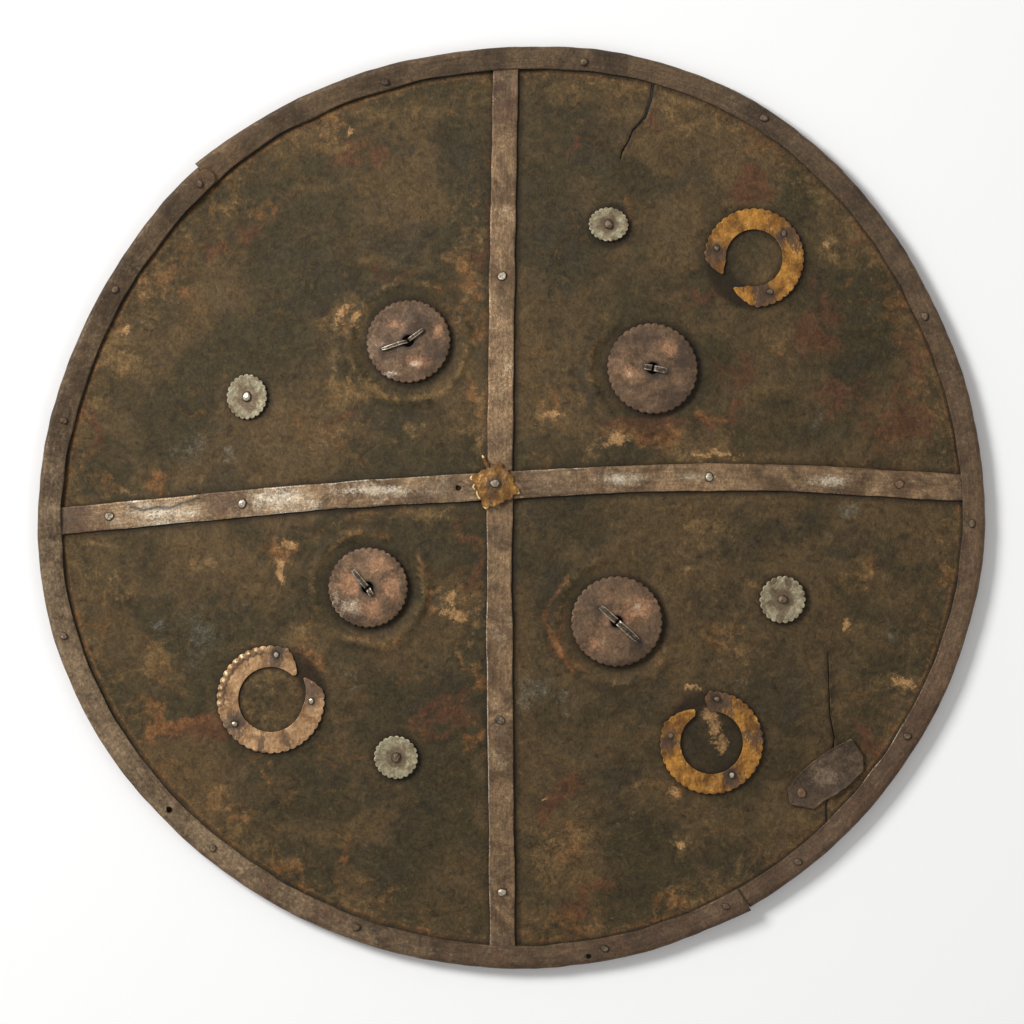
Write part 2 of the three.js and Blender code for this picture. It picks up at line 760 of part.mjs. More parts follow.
// The outline of a band of one thickness that follows a line of points.
function bandRound(line, thickness) {
  const left = [];
  const right = [];
  line.forEach(([x, y], i) => {
    const before = line[Math.max(0, i - 1)];
    const after = line[Math.min(line.length - 1, i + 1)];
    const inHeading = new THREE.Vector2(x - before[0], y - before[1]).normalize();
    const outHeading = new THREE.Vector2(after[0] - x, after[1] - y).normalize();
    const heading = inHeading.clone().add(outHeading).normalize();
    const square = i > 0 && i < line.length - 1 ? Math.max(sharpestMitre, heading.dot(inHeading)) : 1;
    const side = new THREE.Vector2(-heading.y, heading.x).multiplyScalar(thickness / 2 / square);
    left.push(new THREE.Vector2(x + side.x, y + side.y));
    right.push(new THREE.Vector2(x - side.x, y - side.y));
  });
  return [...left, ...right.reverse()];
}

// The moulded ring that the hide shows round a washer, as a low ridge laid on the face.
function mouldingGeometry({ x, y, radius, ring }) {
  const half = mouldingWidth / 2;
  const section = new THREE.Shape([
    new THREE.Vector2(-half, -mouldingRoot),
    new THREE.Vector2(half, -mouldingRoot),
    new THREE.Vector2(0, mouldingHeight),
  ]);
  const steps = Math.round((ring.to - ring.from) / mouldingStep);
  const middle = radius + mouldingMoat + half;
  const flat = new THREE.ExtrudeGeometry(section, { depth: steps, steps, bevelEnabled: false });
  return reshape(flat, (outward, up, along) => {
    const bearing = ring.to + ((ring.from - ring.to) * along) / steps;
    const [dx, dy] = polar(bearing, middle + outward);
    return onFace(x * spread + dx, y * spread + dy, up);
  });
}

for (const washer of washers) {
  const place = standing(washer.x * spread, washer.y * spread, clearance);
  addPiece(`washer_${washer.name}`, washerGeometry(washer.radius), washerIron, place);
  const turned = place.clone().multiply(new THREE.Matrix4().makeRotationZ(radians(washer.legs[0].at)));
  addPiece(`pin_${washer.name}`, pinGeometry(washer.radius, washer.legs), washerIron, turned);
  const holeLength = 2 * (hideThickness + cutBeyond);
  const hole = new THREE.CylinderGeometry(pinHoleRadius, pinHoleRadius, holeLength, pinHoleSides);
  hideCutters.push(hole.rotateX(Math.PI / 2).applyMatrix4(place));
}

// Small discs.

for (const disc of discs) {
  const x = disc.x * spread;
  const y = disc.y * spread;
  const holeSides = 6;
  const shape = new THREE.Shape(toothedRing(discTeeth, 1, discToothDepth / disc.radiusX));
  const smaller = Math.min(disc.radiusX, disc.radiusY);
  const hole = (discRivet.shank + clearance) / Math.cos(Math.PI / holeSides) / smaller;
  shape.holes.push(roundHole(hole, holeSides));
  const geometry = reshape(extrude(shape, discSheet), (across, along, up) => [
    across * disc.radiusX,
    along * disc.radiusY,
    up + discDish * (across ** 2 + along ** 2),
  ]);
  addPiece(`disc_${disc.name}`, geometry, paleMetal, standing(x, y, clearance));
  throughRivet(`disc_rivet_${disc.name}`, discRivet, x, y, clearance + discSheet);
}

// Crescents have a toothed outer arc, a plain inner arc and two tapered ends.

function crescentShape({ outer, inner, start, end }) {
  const ring = [];
  const toothTurn = THREE.MathUtils.radToDeg(crescentToothPitch / outer) / 2;
  const count = 2 * Math.round((end.outerAt - start.outerAt) / toothTurn / 2);
  for (let i = 0; i <= count; i += 1) {
    const bearing = start.outerAt + ((end.outerAt - start.outerAt) * i) / count;
    const reach = i % 2 === 0 ? outer - toothDepth : outer;
    ring.push(new THREE.Vector2(...polar(bearing, reach)));
  }
  ring.push(new THREE.Vector2(...polar(end.tipAt, end.tipReach)));
  const innerSteps = Math.round((end.innerAt - start.innerAt) / crescentInnerStep);
  for (let i = 0; i <= innerSteps; i += 1) {
    const bearing = end.innerAt + ((start.innerAt - end.innerAt) * i) / innerSteps;
    ring.push(new THREE.Vector2(...polar(bearing, inner)));
  }
  ring.push(new THREE.Vector2(...polar(start.tipAt, start.tipReach)));
  return new THREE.Shape(ring);
}

for (const crescent of crescents) {
  const middleX = crescent.x * spread;
  const middleY = crescent.y * spread;
  const draped = reshape(extrude(crescentShape(crescent), crescentSheet), (x, y, z) =>
    onFace(x + middleX, y + middleY, clearance + z),
  );
  const holes = crescent.nails.map(([dx, dy], index) => {
    const place = standing(middleX + dx, middleY + dy, 2 * clearance + crescentSheet);
    const name = `crescent_nail_${crescent.name}_${index + 1}`;
    addPiece(name, rivetGeometry(nail, nailLength, false), rivetIron, place);
    return rivetHole(nail, -nailLength - clearance, cutBeyond).applyMatrix4(place);
  });
  hideCutters.push(...holes);
  addPiece(`crescent_${crescent.name}`, cutAway(draped, holes), brass);
}

// Repair plate.

const plateHole = throughRivet(
  "repair_rivet",
  discRivet,
  plateRivetPlace[0] * spread,
  plateRivetPlace[1] * spread,
  clearance + plateThickness,
);
const plateOutline = plateCorners.map(([x, y]) => new THREE.Vector2(x * spread, y * spread));
const platePiece = reshape(extrude(new THREE.Shape(plateOutline), plateThickness), (x, y, z) =>
  onFace(x, y, clearance + z),
);
addPiece("repair_plate", cutAway(platePiece, [plateHole]), rimIron);

// Hide board.

function crackCutter(crack) {
  const { widthAtStart, widthAtEnd } = crack;
  const points = crack.points.map(([x, y]) => [x * spread, y * spread]);
  const left = [];
  const right = [];
  points.forEach(([x, y], i) => {
    const before = points[Math.max(0, i - 1)];
    const after = points[Math.min(points.length - 1, i + 1)];
    const heading = new THREE.Vector2(after[0] - before[0], after[1] - before[1]).normalize();
    const width = THREE.MathUtils.lerp(widthAtStart, widthAtEnd, i / (points.length - 1));
    left.push(new THREE.Vector2(x - (heading.y * width) / 2, y + (heading.x * width) / 2));
    right.push(new THREE.Vector2(x + (heading.y * width) / 2, y - (heading.x * width) / 2));
  });
  const shape = new THREE.Shape([...left, ...right.reverse()]);
  return extrude(shape, hideFace + dishRise);
}

// A lathed disc whose top points have y = 1 and whose back points have y = 0, spread to the outline
// and raised to the dish.
function hideGeometry() {
  const backWay = [0, ...hideRings, 1].map((share) => new THREE.Vector2(share, 0));
  const faceWay = [1, ...[...hideRings].reverse(), 0].map((share) => new THREE.Vector2(share, 1));
  const points = [...backWay, ...faceWay];
  const flat = new THREE.LatheGeometry(points, hideSegments).rotateX(Math.PI / 2);
  const board = reshape(flat, (x, y, z) => {
    const bearing = bearingOf(x, y);
    const edge = outlineRadius(bearing) - hideSetIn;
    const spotX = x * edge;
    const spotY = y * edge;
    return onFace(spotX, spotY, (z - 1) * hideThickness);
  });
  let solid = solidOf(board);
  for (const washer of washers) {
    solid = solid.add(solidOf(mouldingGeometry(washer)));
  }
  return cutAway(geometryOf(solid), [...hideCutters, ...cracks.map(crackCutter)]);
}

addPiece("hide_board", hideGeometry(), hide);

export default shield;
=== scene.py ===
import math
import bpy
import numpy as np
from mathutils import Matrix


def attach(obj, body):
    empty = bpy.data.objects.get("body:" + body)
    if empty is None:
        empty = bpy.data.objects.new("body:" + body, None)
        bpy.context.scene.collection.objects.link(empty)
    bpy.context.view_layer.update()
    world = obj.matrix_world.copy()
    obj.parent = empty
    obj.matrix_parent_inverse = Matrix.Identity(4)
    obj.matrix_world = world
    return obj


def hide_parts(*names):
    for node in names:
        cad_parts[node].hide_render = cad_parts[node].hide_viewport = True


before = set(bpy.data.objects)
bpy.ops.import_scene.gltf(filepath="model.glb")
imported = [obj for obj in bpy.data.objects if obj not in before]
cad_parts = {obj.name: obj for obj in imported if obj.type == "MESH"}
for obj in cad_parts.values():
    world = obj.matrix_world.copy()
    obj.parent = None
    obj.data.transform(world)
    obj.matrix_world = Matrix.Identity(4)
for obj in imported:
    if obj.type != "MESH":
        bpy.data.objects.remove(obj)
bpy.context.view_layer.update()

mm = 0.001
print("frame loaded,", len(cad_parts), "nodes")

# Sizes are in millimetres in the CAD's frame: +Z out of the face, +Y the top of the face.
# A bearing is in degrees, counter-clockwise from +X.


def addObject(name, data):
    # an object that holds the data, in the scene
    made = bpy.data.objects.new(name, data)
    bpy.context.scene.collection.objects.link(made)
    return made


# Camera first: the photograph looks straight at the face, so it looks straight down here.
cameraSetup = {
    "height": 6.0,              # metres above the ground, far enough to flatten the perspective
    "aim": (0.0005, -0.0024),   # the photograph's middle, in metres on the face
    "width": 0.5424,            # metres seen across the image at the rim
    "sensor": 36,               # millimetres
    "farthest": 30,             # metres
}
lens = bpy.data.cameras.new("camera")
camera = addObject("camera", lens)
camera.location = (*cameraSetup["aim"], cameraSetup["height"])
lens.sensor_width = cameraSetup["sensor"]
lens.lens = lens.sensor_width * cameraSetup["height"] / cameraSetup["width"]
lens.clip_end = cameraSetup["farthest"]
bpy.context.scene.camera = camera

# Shared arithmetic

def ease(value, low, high):
    # 0 below low, 1 above high, and a smooth S between them
    share = np.clip((value - low) / (high - low), 0, 1)
    return share * share * (3 - 2 * share)


def bell(distance, width):
    # e to the power of minus (distance / width) squared: 1 at distance 0, falling off on both sides
    return np.exp(-((distance / width) ** 2))


def ripple(points, wavelength, seed):
    # random unevenness: a sum of plane waves in random directions, scaled to a spread of one
    waves, shortest, longest = 22, 0.7, 1.4
    draw = np.random.default_rng(seed)
    headings = draw.normal(size=(waves, 3))
    headings /= np.linalg.norm(headings, axis=1, keepdims=True)
    lengths = wavelength * draw.uniform(shortest, longest, waves)
    phases = draw.uniform(0, 2 * math.pi, waves)
    turns = points @ (headings.T * (2 * math.pi / lengths)) + phases
    return np.cos(turns).sum(axis=-1) * math.sqrt(2 / waves)


def spots(x, y, places):
    # how strongly each point lies inside a list of soft ovals (x, y, half width, half height)
    strength = np.zeros_like(x)
    for spotX, spotY, halfX, halfY in places:
        oval = np.exp(-((x - spotX) / halfX) ** 2 - ((y - spotY) / halfY) ** 2)
        strength = np.maximum(strength, oval)
    return strength


def lineDistance(x, y, line):
    # distance from each point to the nearest place on a line of straight stretches
    nearest = np.full(np.shape(x), 1e9)
    for (ax, ay), (bx, by) in zip(line[:-1], line[1:]):
        lengthSquared = (bx - ax) ** 2 + (by - ay) ** 2
        share = np.clip(((x - ax) * (bx - ax) + (y - ay) * (by - ay)) / lengthSquared, 0, 1)
        nearest = np.minimum(nearest, np.hypot(x - ax - share * (bx - ax), y - ay - share * (by - ay)))
    return nearest


def polar(bearing, radius):
    # the place that far out at a bearing: radius times its cosine, radius times its sine
    return radius * np.cos(np.radians(bearing)), radius * np.sin(np.radians(bearing))


def bearingOf(x, y):
    # the bearing of a place, in degrees from -180 to 180
    return np.degrees(np.arctan2(y, x))


def turnApart(bearing, other):
    # the smaller turn between two bearings, in degrees
    return np.abs((bearing - other + 180) % 360 - 180)


def onArc(x, y, start, stop, low, high):
    # how far a bearing lies within an arc, in degrees, eased from 0 at low to 1 at high
    middle, half = (start + stop) / 2, (stop - start) / 2
    return ease(half - turnApart(bearingOf(x, y), middle % 360), low, high)


def flatPoints(x, y):
    # the places as points at height 0, where unevenness is read
    return np.stack([x, y, np.zeros_like(x)], axis=-1)


def leftOf(line):
    # the direction one unit to the left of a line, square to it, at each of its points
    heading = np.gradient(line, axis=0)
    heading /= np.linalg.norm(heading, axis=1, keepdims=True)
    return np.stack([-heading[:, 1], heading[:, 0]], axis=1)


def smoothLoop(values, width):
    # values round a closed loop, each averaged with its neighbours, the nearest counting most
    kernel = np.hanning(width) / np.hanning(width).sum()
    half = width // 2
    return np.convolve(np.concatenate([values[-half:], values, values[:half]]), kernel, "valid")


# The outline and the dish, as the CAD has them

board = {
    "outline": 247.2,     # mean radius of the rim
    # swells of the outline: how many round it, height, bearing of a crest
    "swells": [(1, 1.2, 4), (2, 3.0, 12), (3, 1.6, 69.5), (5, 1.0, 58), (6, 0.6, 2)],
    "flange": 12.4,       # mean width of the rim's flange
    "flangeSwell": (0.5, 200),
    "brim": 6.0,          # height of the hide's face under the rim
    "thickness": 4.5,
    "rise": 32.0,         # of the middle of the dish over its brim
    "roundness": 1.3,
    "setback": 2.0,       # from the rim's inner edge to the foot of the dish
    "edgeIn": 3.9,        # from the outline to the hide's edge, inside the rim
}


def outlineRadius(bearing):
    # a mean radius, plus a height times the cosine of the bearing from its crest for each swell
    radius = np.full(np.shape(bearing), board["outline"])
    for waves, height, crest in board["swells"]:
        radius = radius + height * np.cos(np.radians(waves * (bearing - crest)))
    return radius


def flangeWidth(bearing):
    # a mean width with one swell round it
    height, crest = board["flangeSwell"]
    return board["flange"] + height * np.cos(np.radians(bearing - crest))


def innerRadius(bearing):
    # to the inner edge of the rim's flange
    return outlineRadius(bearing) - flangeWidth(bearing)


def inFromRim(x, y):
    # how far each point lies inside the flange's inner edge
    return innerRadius(bearingOf(x, y)) - np.hypot(x, y)


def faceHeight(x, y):
    # flat under the rim, then rise * (1 - share squared) to the power of the roundness
    foot = innerRadius(bearingOf(x, y)) - board["setback"]
    share = np.minimum(1, np.hypot(x, y) / foot)
    return board["brim"] + board["rise"] * (1 - share**2) ** board["roundness"]


def onFace(x, y, lift):
    # points that stand a lift above the face, straight up
    return np.stack([x, y, faceHeight(x, y) + lift], axis=-1)


def standing(local, x, y, lift, turn=0.0):
    # carries local points to a place on the face, square to the surface there, turned about it first
    reach = 1.0      # the slope is read this far on each side
    slopeX = (faceHeight(x + reach, y) - faceHeight(x - reach, y)) / (2 * reach)
    slopeY = (faceHeight(x, y + reach) - faceHeight(x, y - reach)) / (2 * reach)
    up = np.array([-slopeX, -slopeY, 1.0])
    up /= np.linalg.norm(up)
    tilt = np.array([[0, 0, up[0]], [0, 0, up[1]], [-up[0], -up[1], 0]])
    leaning = np.eye(3) + tilt + tilt @ tilt / (1 + up[2])
    cosine, sine = math.cos(math.radians(turn)), math.sin(math.radians(turn))
    turning = np.array([[cosine, -sine, 0], [sine, cosine, 0], [0, 0, 1]])
    foot = np.array([x, y, float(faceHeight(x, y))]) + up * lift
    return local @ (leaning @ turning).T + foot


# Mesh making: every piece is a grid of points wrapped into one closed skin

def gridQuads(rows, columns, wrapRows, wrapColumns):
    # corner numbers of the four-sided faces between neighbouring points of a grid
    i = np.arange(rows if wrapRows else rows - 1)
    j = np.arange(columns if wrapColumns else columns - 1)
    i, j = np.meshgrid(i, j, indexing="ij")
    nextI, nextJ = (i + 1) % rows, (j + 1) % columns
    corners = [i * columns + j, nextI * columns + j, nextI * columns + nextJ, i * columns + nextJ]
    return np.stack([corner.ravel() for corner in corners], axis=1)


def signedVolume(points, faces):
    # six times the volume that the faces hold, as a sum of corner products, negative if inside out
    a, b, c = points[faces[:, 0]], points[faces[:, 1]], points[faces[:, 2]]
    volume = np.einsum("ij,ij->i", a, np.cross(b, c)).sum()
    if faces.shape[1] == 4:
        d = points[faces[:, 3]]
        volume += np.einsum("ij,ij->i", a, np.cross(c, d)).sum()
    return volume


def makePiece(name, points, quads, triangles, marks, finish, nodes):
    # puts arrays into a mesh, turns the skin outwards, and ties the piece to the frame
    points = np.asarray(points, dtype=float).reshape(-1, 3)
    if signedVolume(points, quads) + signedVolume(points, triangles) < 0:
        quads, triangles = quads[:, ::-1], triangles[:, ::-1]
    corners = np.concatenate([quads.ravel(), triangles.ravel()])
    starts = np.concatenate([np.arange(len(quads)) * 4, quads.size + np.arange(len(triangles)) * 3])
    mesh = bpy.data.meshes.new(name)
    mesh.vertices.add(len(points))
    mesh.vertices.foreach_set("co", (points * mm).ravel())
    mesh.loops.add(len(corners))
    mesh.loops.foreach_set("vertex_index", corners.astype(np.int32))
    mesh.polygons.add(len(starts))
    mesh.polygons.foreach_set("loop_start", starts.astype(np.int32))
    mesh.polygons.foreach_set("use_smooth", np.ones(len(starts), dtype=bool))
    for markName, values in marks.items():
        layer = mesh.attributes.new(markName, "FLOAT", "POINT")
        layer.data.foreach_set("value", np.asarray(values, dtype=np.float32).ravel())
    mesh.update(calc_edges=True)
    mesh.validate()
    mesh.materials.append(finish)
    piece = addObject(name, mesh)
    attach(piece, "root")
    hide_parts(*nodes)
    return piece


def everywhere(marks, points):
    # each mark as one value for every point of the grid
    return {key: np.broadcast_to(values, points.shape[:2]) for key, values in marks.items()}


noTriangles = np.zeros((0, 3), dtype=int)


def ringPiece(name, points, marks, finish, nodes):
    # a grid wrapped both ways: once round its hole and once round its section
    quads = gridQuads(*points.shape[:2], True, True)
    return makePiece(name, points, quads, noTriangles, everywhere(marks, points), finish, nodes)


def bandPiece(name, points, marks, finish, nodes):
    # a section carried along a path, wrapped round the section, with both ends closed by a fold
    rows, columns = points.shape[:2]
    quads = gridQuads(rows, columns, False, True)
    i = np.arange(columns // 2 - 1)
    first = np.stack([i, i + 1, columns - 2 - i, columns - 1 - i], axis=1)
    last = first[:, ::-1] + (rows - 1) * columns
    quads = np.concatenate([quads, first, last])
    return makePiece(name, points, quads, noTriangles, everywhere(marks, points), finish, nodes)


def knobPiece(name, points, top, bottom, marks, finish, nodes):
    # rings of points from a top pole, marked as the first point is, to a bottom pole without marks
    around, down = points.shape[:2]
    quads = gridQuads(around, down, True, False)
    poleTop, poleBottom = around * down, around * down + 1
    i = np.arange(around)
    nextI = (i + 1) % around
    upper = np.stack([nextI * down, i * down, np.full(around, poleTop)], axis=1)
    lower = np.stack([i * down + down - 1, nextI * down + down - 1, np.full(around, poleBottom)], axis=1)
    triangles = np.concatenate([upper, lower])
    everyPoint = np.concatenate([points.reshape(-1, 3), [top], [bottom]])
    marks = everywhere(marks, points)
    withPoles = {key: np.append(values, [values[0, 0], 0.0]) for key, values in marks.items()}
    return makePiece(name, everyPoint, quads, triangles, withPoles, finish, nodes)


def cutHoles(piece, cutters):
    # takes closed cutters away from a piece for good
    for cutter in cutters:
        cut = piece.modifiers.new("hole", "BOOLEAN")
        cut.operation = "DIFFERENCE"
        cut.solver = "EXACT"
        cut.object = cutter
    bpy.context.view_layer.update()
    held = bpy.data.meshes.new_from_object(piece.evaluated_get(bpy.context.evaluated_depsgraph_get()))
    before = piece.data
    piece.modifiers.clear()
    piece.data = held
    held.name = before.name
    bpy.data.meshes.remove(before)
    for cutter in cutters:
        shape = cutter.data
        bpy.data.objects.remove(cutter)
        bpy.data.meshes.remove(shape)


def cutterFrom(points, faces):
    # a closed shape that only cuts, from its corners and the corner numbers of its faces
    mesh = bpy.data.meshes.new("cutter")
    mesh.from_pydata((np.asarray(points) * mm).tolist(), [], faces)
    mesh.update()
    return addObject("cutter", mesh)


def prismCutter(outline, low, high):
    # a flat outline, counter-clockwise, drawn up from low to high
    count = len(outline)
    points = [(x, y, low) for x, y in outline] + [(x, y, high) for x, y in outline]
    sides = [[i, (i + 1) % count, count + (i + 1) % count, count + i] for i in range(count)]
    return cutterFrom(points, [list(range(count))[::-1], list(range(count, 2 * count))] + sides)


def roundCutter(x, y, radius, low, high, uneven):
    # a round outline with a twofold and a threefold swell of the uneven share, drawn up
    turns = np.linspace(0, 2 * math.pi, 24, endpoint=False)
    reach = radius * (1 + uneven * np.cos(2 * turns + 1) + uneven * np.cos(3 * turns))
    return prismCutter(list(zip(x + reach * np.cos(turns), y + reach * np.sin(turns))), low, high)


def slitCutter(points, widthAtStart, widthAtEnd, low, high):
    # a strip of tapering width along a line of points
    line = np.array(points, dtype=float)
    half = np.linspace(widthAtStart, widthAtEnd, len(line))[:, None] / 2
    edge = leftOf(line) * half
    return prismCutter(np.concatenate([line - edge, (line + edge)[::-1]]).tolist(), low, high)


# Node helpers

def addNode(tree, kind, inputs, **settings):
    # a node with its settings made, each input linked to another node's socket or set to a value
    made = tree.nodes.new(kind)
    for key, value in settings.items():
        setattr(made, key, value)
    for key, value in inputs.items():
        if isinstance(value, bpy.types.NodeSocket):
            tree.links.new(value, made.inputs[key])
        else:
            made.inputs[key].default_value = value
    return made


def calc(tree, operation, *values, clamp=False):
    # one step of arithmetic
    inputs = dict(enumerate(values))
    return addNode(tree, "ShaderNodeMath", inputs, operation=operation, use_clamp=clamp).outputs[0]


def between(tree, value, low, high, bottom=0.0, top=1.0):
    # a smooth step from bottom to top as value goes from low to high
    inputs = {"Value": value, "From Min": low, "From Max": high, "To Min": bottom, "To Max": top}
    return addNode(tree, "ShaderNodeMapRange", inputs, interpolation_type="SMOOTHSTEP").outputs[0]


def tint(tree, share, below, above, way="MIX"):
    # two colours mixed by a share: a Mix node takes them at inputs 6 and 7 and gives output 2
    inputs = {0: share, 6: below, 7: above}
    return addNode(tree, "ShaderNodeMix", inputs, data_type="RGBA", blend_type=way).outputs[2]


def cover(tree, mask, share, paint, coat):
    # lays a coat over the paint, as strong as the mask times the share
    return tint(tree, calc(tree, "MULTIPLY", mask, share), paint, coat)


def grey(tree, value):
    # the same value in all three channels
    return addNode(tree, "ShaderNodeCombineColor", {0: value, 1: value, 2: value}).outputs[0]


def shade(tree, paint, texture, low, high, darkest, brightest):
    # the paint times a grey that goes from darkest to brightest as the texture goes from low to high
    tone = grey(tree, between(tree, texture, low, high, darkest, brightest))
    return tint(tree, 1.0, paint, tone, "MULTIPLY")


def noise(tree, vector, scale, detail, roughness=0.55, distortion=0.0):
    # scale is how many of its cells fit in a metre
    inputs = {"Vector": vector, "Scale": scale, "Detail": detail, "Roughness": roughness,
              "Distortion": distortion}
    return addNode(tree, "ShaderNodeTexNoise", inputs).outputs[0]


def stretched(tree, vector, scale, shift=(0, 0, 0), turn=0.0):
    # the same places scaled, shifted and turned about the height, so that a pattern is drawn out or moved
    inputs = {"Vector": vector, "Scale": scale, "Location": shift, "Rotation": (0, 0, turn)}
    return addNode(tree, "ShaderNodeMapping", inputs).outputs[0]


def mark(tree, name):
    # a mark that the piece's mesh carries at its points
    return addNode(tree, "ShaderNodeAttribute", {}, attribute_name=name).outputs["Fac"]


def color(red, green, blue):
    # a colour as it looks on screen, 0 to 255, made linear
    screen = np.array([red, green, blue]) / 255
    linear = np.where(screen <= 0.04045, screen / 12.92, ((screen + 0.055) / 1.055) ** 2.4)
    return (*linear.tolist(), 1.0)


def startGroup(name, inputs, output):
    # a node group with its sockets, whose one or more outputs are all plain values
    group = bpy.data.node_groups.new(name, "ShaderNodeTree")
    group.interface.new_socket(name="Vector", in_out="INPUT", socket_type="NodeSocketVector")
    for socketName, value in inputs.items():
        socket = group.interface.new_socket(name=socketName, in_out="INPUT", socket_type="NodeSocketFloat")
        socket.default_value = value
    for socketName in output:
        group.interface.new_socket(name=socketName, in_out="OUTPUT", socket_type="NodeSocketFloat")
    entry = group.nodes.new("NodeGroupInput")
    leave = group.nodes.new("NodeGroupOutput")
    return group, entry.outputs, leave.inputs


def buildBlotches():
    # ragged patches: two noises of different size added to a painted strength, then cut by a threshold
    inputs = {"Scale": 20.0, "Strength": 0.0, "Low": 0.5, "High": 0.65, "Raggedness": 0.5}
    group, given, result = startGroup("blotches", inputs, ["Mask"])
    coarse = noise(group, given["Vector"], given["Scale"], 5.0, 0.6, 0.4)
    fineScale = calc(group, "MULTIPLY", given["Scale"], 7.3)
    fine = noise(group, given["Vector"], fineScale, 6.0, 0.7, 0.2)
    ragged = calc(group, "MULTIPLY", calc(group, "SUBTRACT", fine, 0.5), given["Raggedness"])
    total = calc(group, "ADD", calc(group, "ADD", coarse, ragged), given["Strength"])
    group.links.new(between(group, total, given["Low"], given["High"]), result["Mask"])
    return group


def buildPitting():
    # fine unevenness of old metal: small pits under a slow swell, as a height and as a mask of the pits
    group, given, result = startGroup("pitting", {"Scale": 400.0, "Pits": 0.5}, ["Height", "Mask"])
    swell = noise(group, given["Vector"], calc(group, "MULTIPLY", given["Scale"], 0.22), 3.0, 0.5)
    pitted = noise(group, given["Vector"], given["Scale"], 6.0, 0.68, 0.3)
    pits = between(group, pitted, 0.42, 0.55, 1.0, 0.0)
    depth = calc(group, "MULTIPLY", pits, given["Pits"])
    height = calc(group, "SUBTRACT", calc(group, "ADD", swell, calc(group, "MULTIPLY", pitted, 0.5)), depth)
    group.links.new(height, result["Height"])
    group.links.new(pits, result["Mask"])
    return group


def buildScratches():
    # fine lines along one direction: a noise drawn out sixteenfold, cut to its peaks
    drawnOut = (0.06, 1.0, 1.0)
    group, given, result = startGroup("scratches", {"Scale": 300.0}, ["Mask"])
    drawn = addNode(group, "ShaderNodeVectorMath", {0: given["Vector"], 1: drawnOut}, operation="MULTIPLY")
    lines = noise(group, drawn.outputs[0], given["Scale"], 3.0, 0.6, 0.1)
    group.links.new(between(group, lines, 0.56, 0.7), result["Mask"])
    return group


blotches = buildBlotches()
pitting = buildPitting()
scratches = buildScratches()


def useGroup(tree, group, output="Mask", **inputs):
    # one output of a node group placed with its own values
    return addNode(tree, "ShaderNodeGroup", inputs, node_tree=group).outputs[output]


def patches(tree, vector, scale, strength, low, high, raggedness):
    # ragged patches where the strength is high
    return useGroup(tree, blotches, Vector=vector, Scale=scale, Strength=strength, Low=low, High=high,
                    Raggedness=raggedness)


def startMaterial(name):
    # an empty material with its shader, and the place on the object that its patterns read
    material = bpy.data.materials.new(name)
    material.use_nodes = True
    tree = material.node_tree
    tree.nodes.clear()
    shader = tree.nodes.new("ShaderNodeBsdfPrincipled")
    leave = tree.nodes.new("ShaderNodeOutputMaterial")
    tree.links.new(shader.outputs[0], leave.inputs[0])
    place = addNode(tree, "ShaderNodeTexCoord", {}).outputs["Object"]
    return material, tree, shader.inputs, place


def bumpFrom(tree, height, depth):
    # depth is how far the height's whole range would stand up, in millimetres
    inputs = {"Height": height, "Distance": depth * mm, "Strength": 1.0}
    return addNode(tree, "ShaderNodeBump", inputs).outputs[0]


# Finishes

hideLook = {
    "olive": color(66, 56, 34), "brown": color(92, 73, 46), "ochre": color(132, 104, 65),
    "sand": color(186, 143, 94), "orange": color(142, 94, 52), "rust": color(96, 61, 39),
    # the pale bluish grey is a painted sheen; the darkest brown lays both grime and painted shade
    "soot": color(58, 51, 36), "paintedSheen": color(116, 117, 104), "dirtAndShade": color(32, 24, 14),
    # patches where marked: scale, low and high end of their threshold, raggedness
    "patches": {"soot": (40.0, 0.78, 1.25, 1.2), "rust": (45.0, 0.82, 1.35, 1.6),
                "orange": (110.0, 0.8, 1.3, 1.1), "paintedSheen": (200.0, 1.05, 1.5, 3.0),
                "flake": (90.0, 0.95, 1.25, 2.0)},
    "mottling": (150.0, 8.0, 1.0, 0.6, 1.3), "hatching": (760.0, 5.0, 0.6, 0.72, 1.26),
    "gloss": 0.22, "bump": 0.5,
}


def roughen(tree, paint, place, mottling, hatching):
    # shades the paint by a mottling noise, then by a finer one squeezed across: each is given by
    # its scale, detail and distortion, and by its darkest and brightest shade
    scale, detail, distortion, darkest, brightest = mottling
    mottle = noise(tree, stretched(tree, place, (1, 1, 1), (0.4, 0.6, 0.1)), scale, detail, 0.82, distortion)
    paint = shade(tree, paint, mottle, 0.32, 0.68, darkest, brightest)
    scale, detail, distortion, darkest, brightest = hatching
    hatch = noise(tree, stretched(tree, place, (1.0, 0.6, 1.0)), scale, detail, 0.75, distortion)
    return shade(tree, paint, hatch, 0.3, 0.7, darkest, brightest)


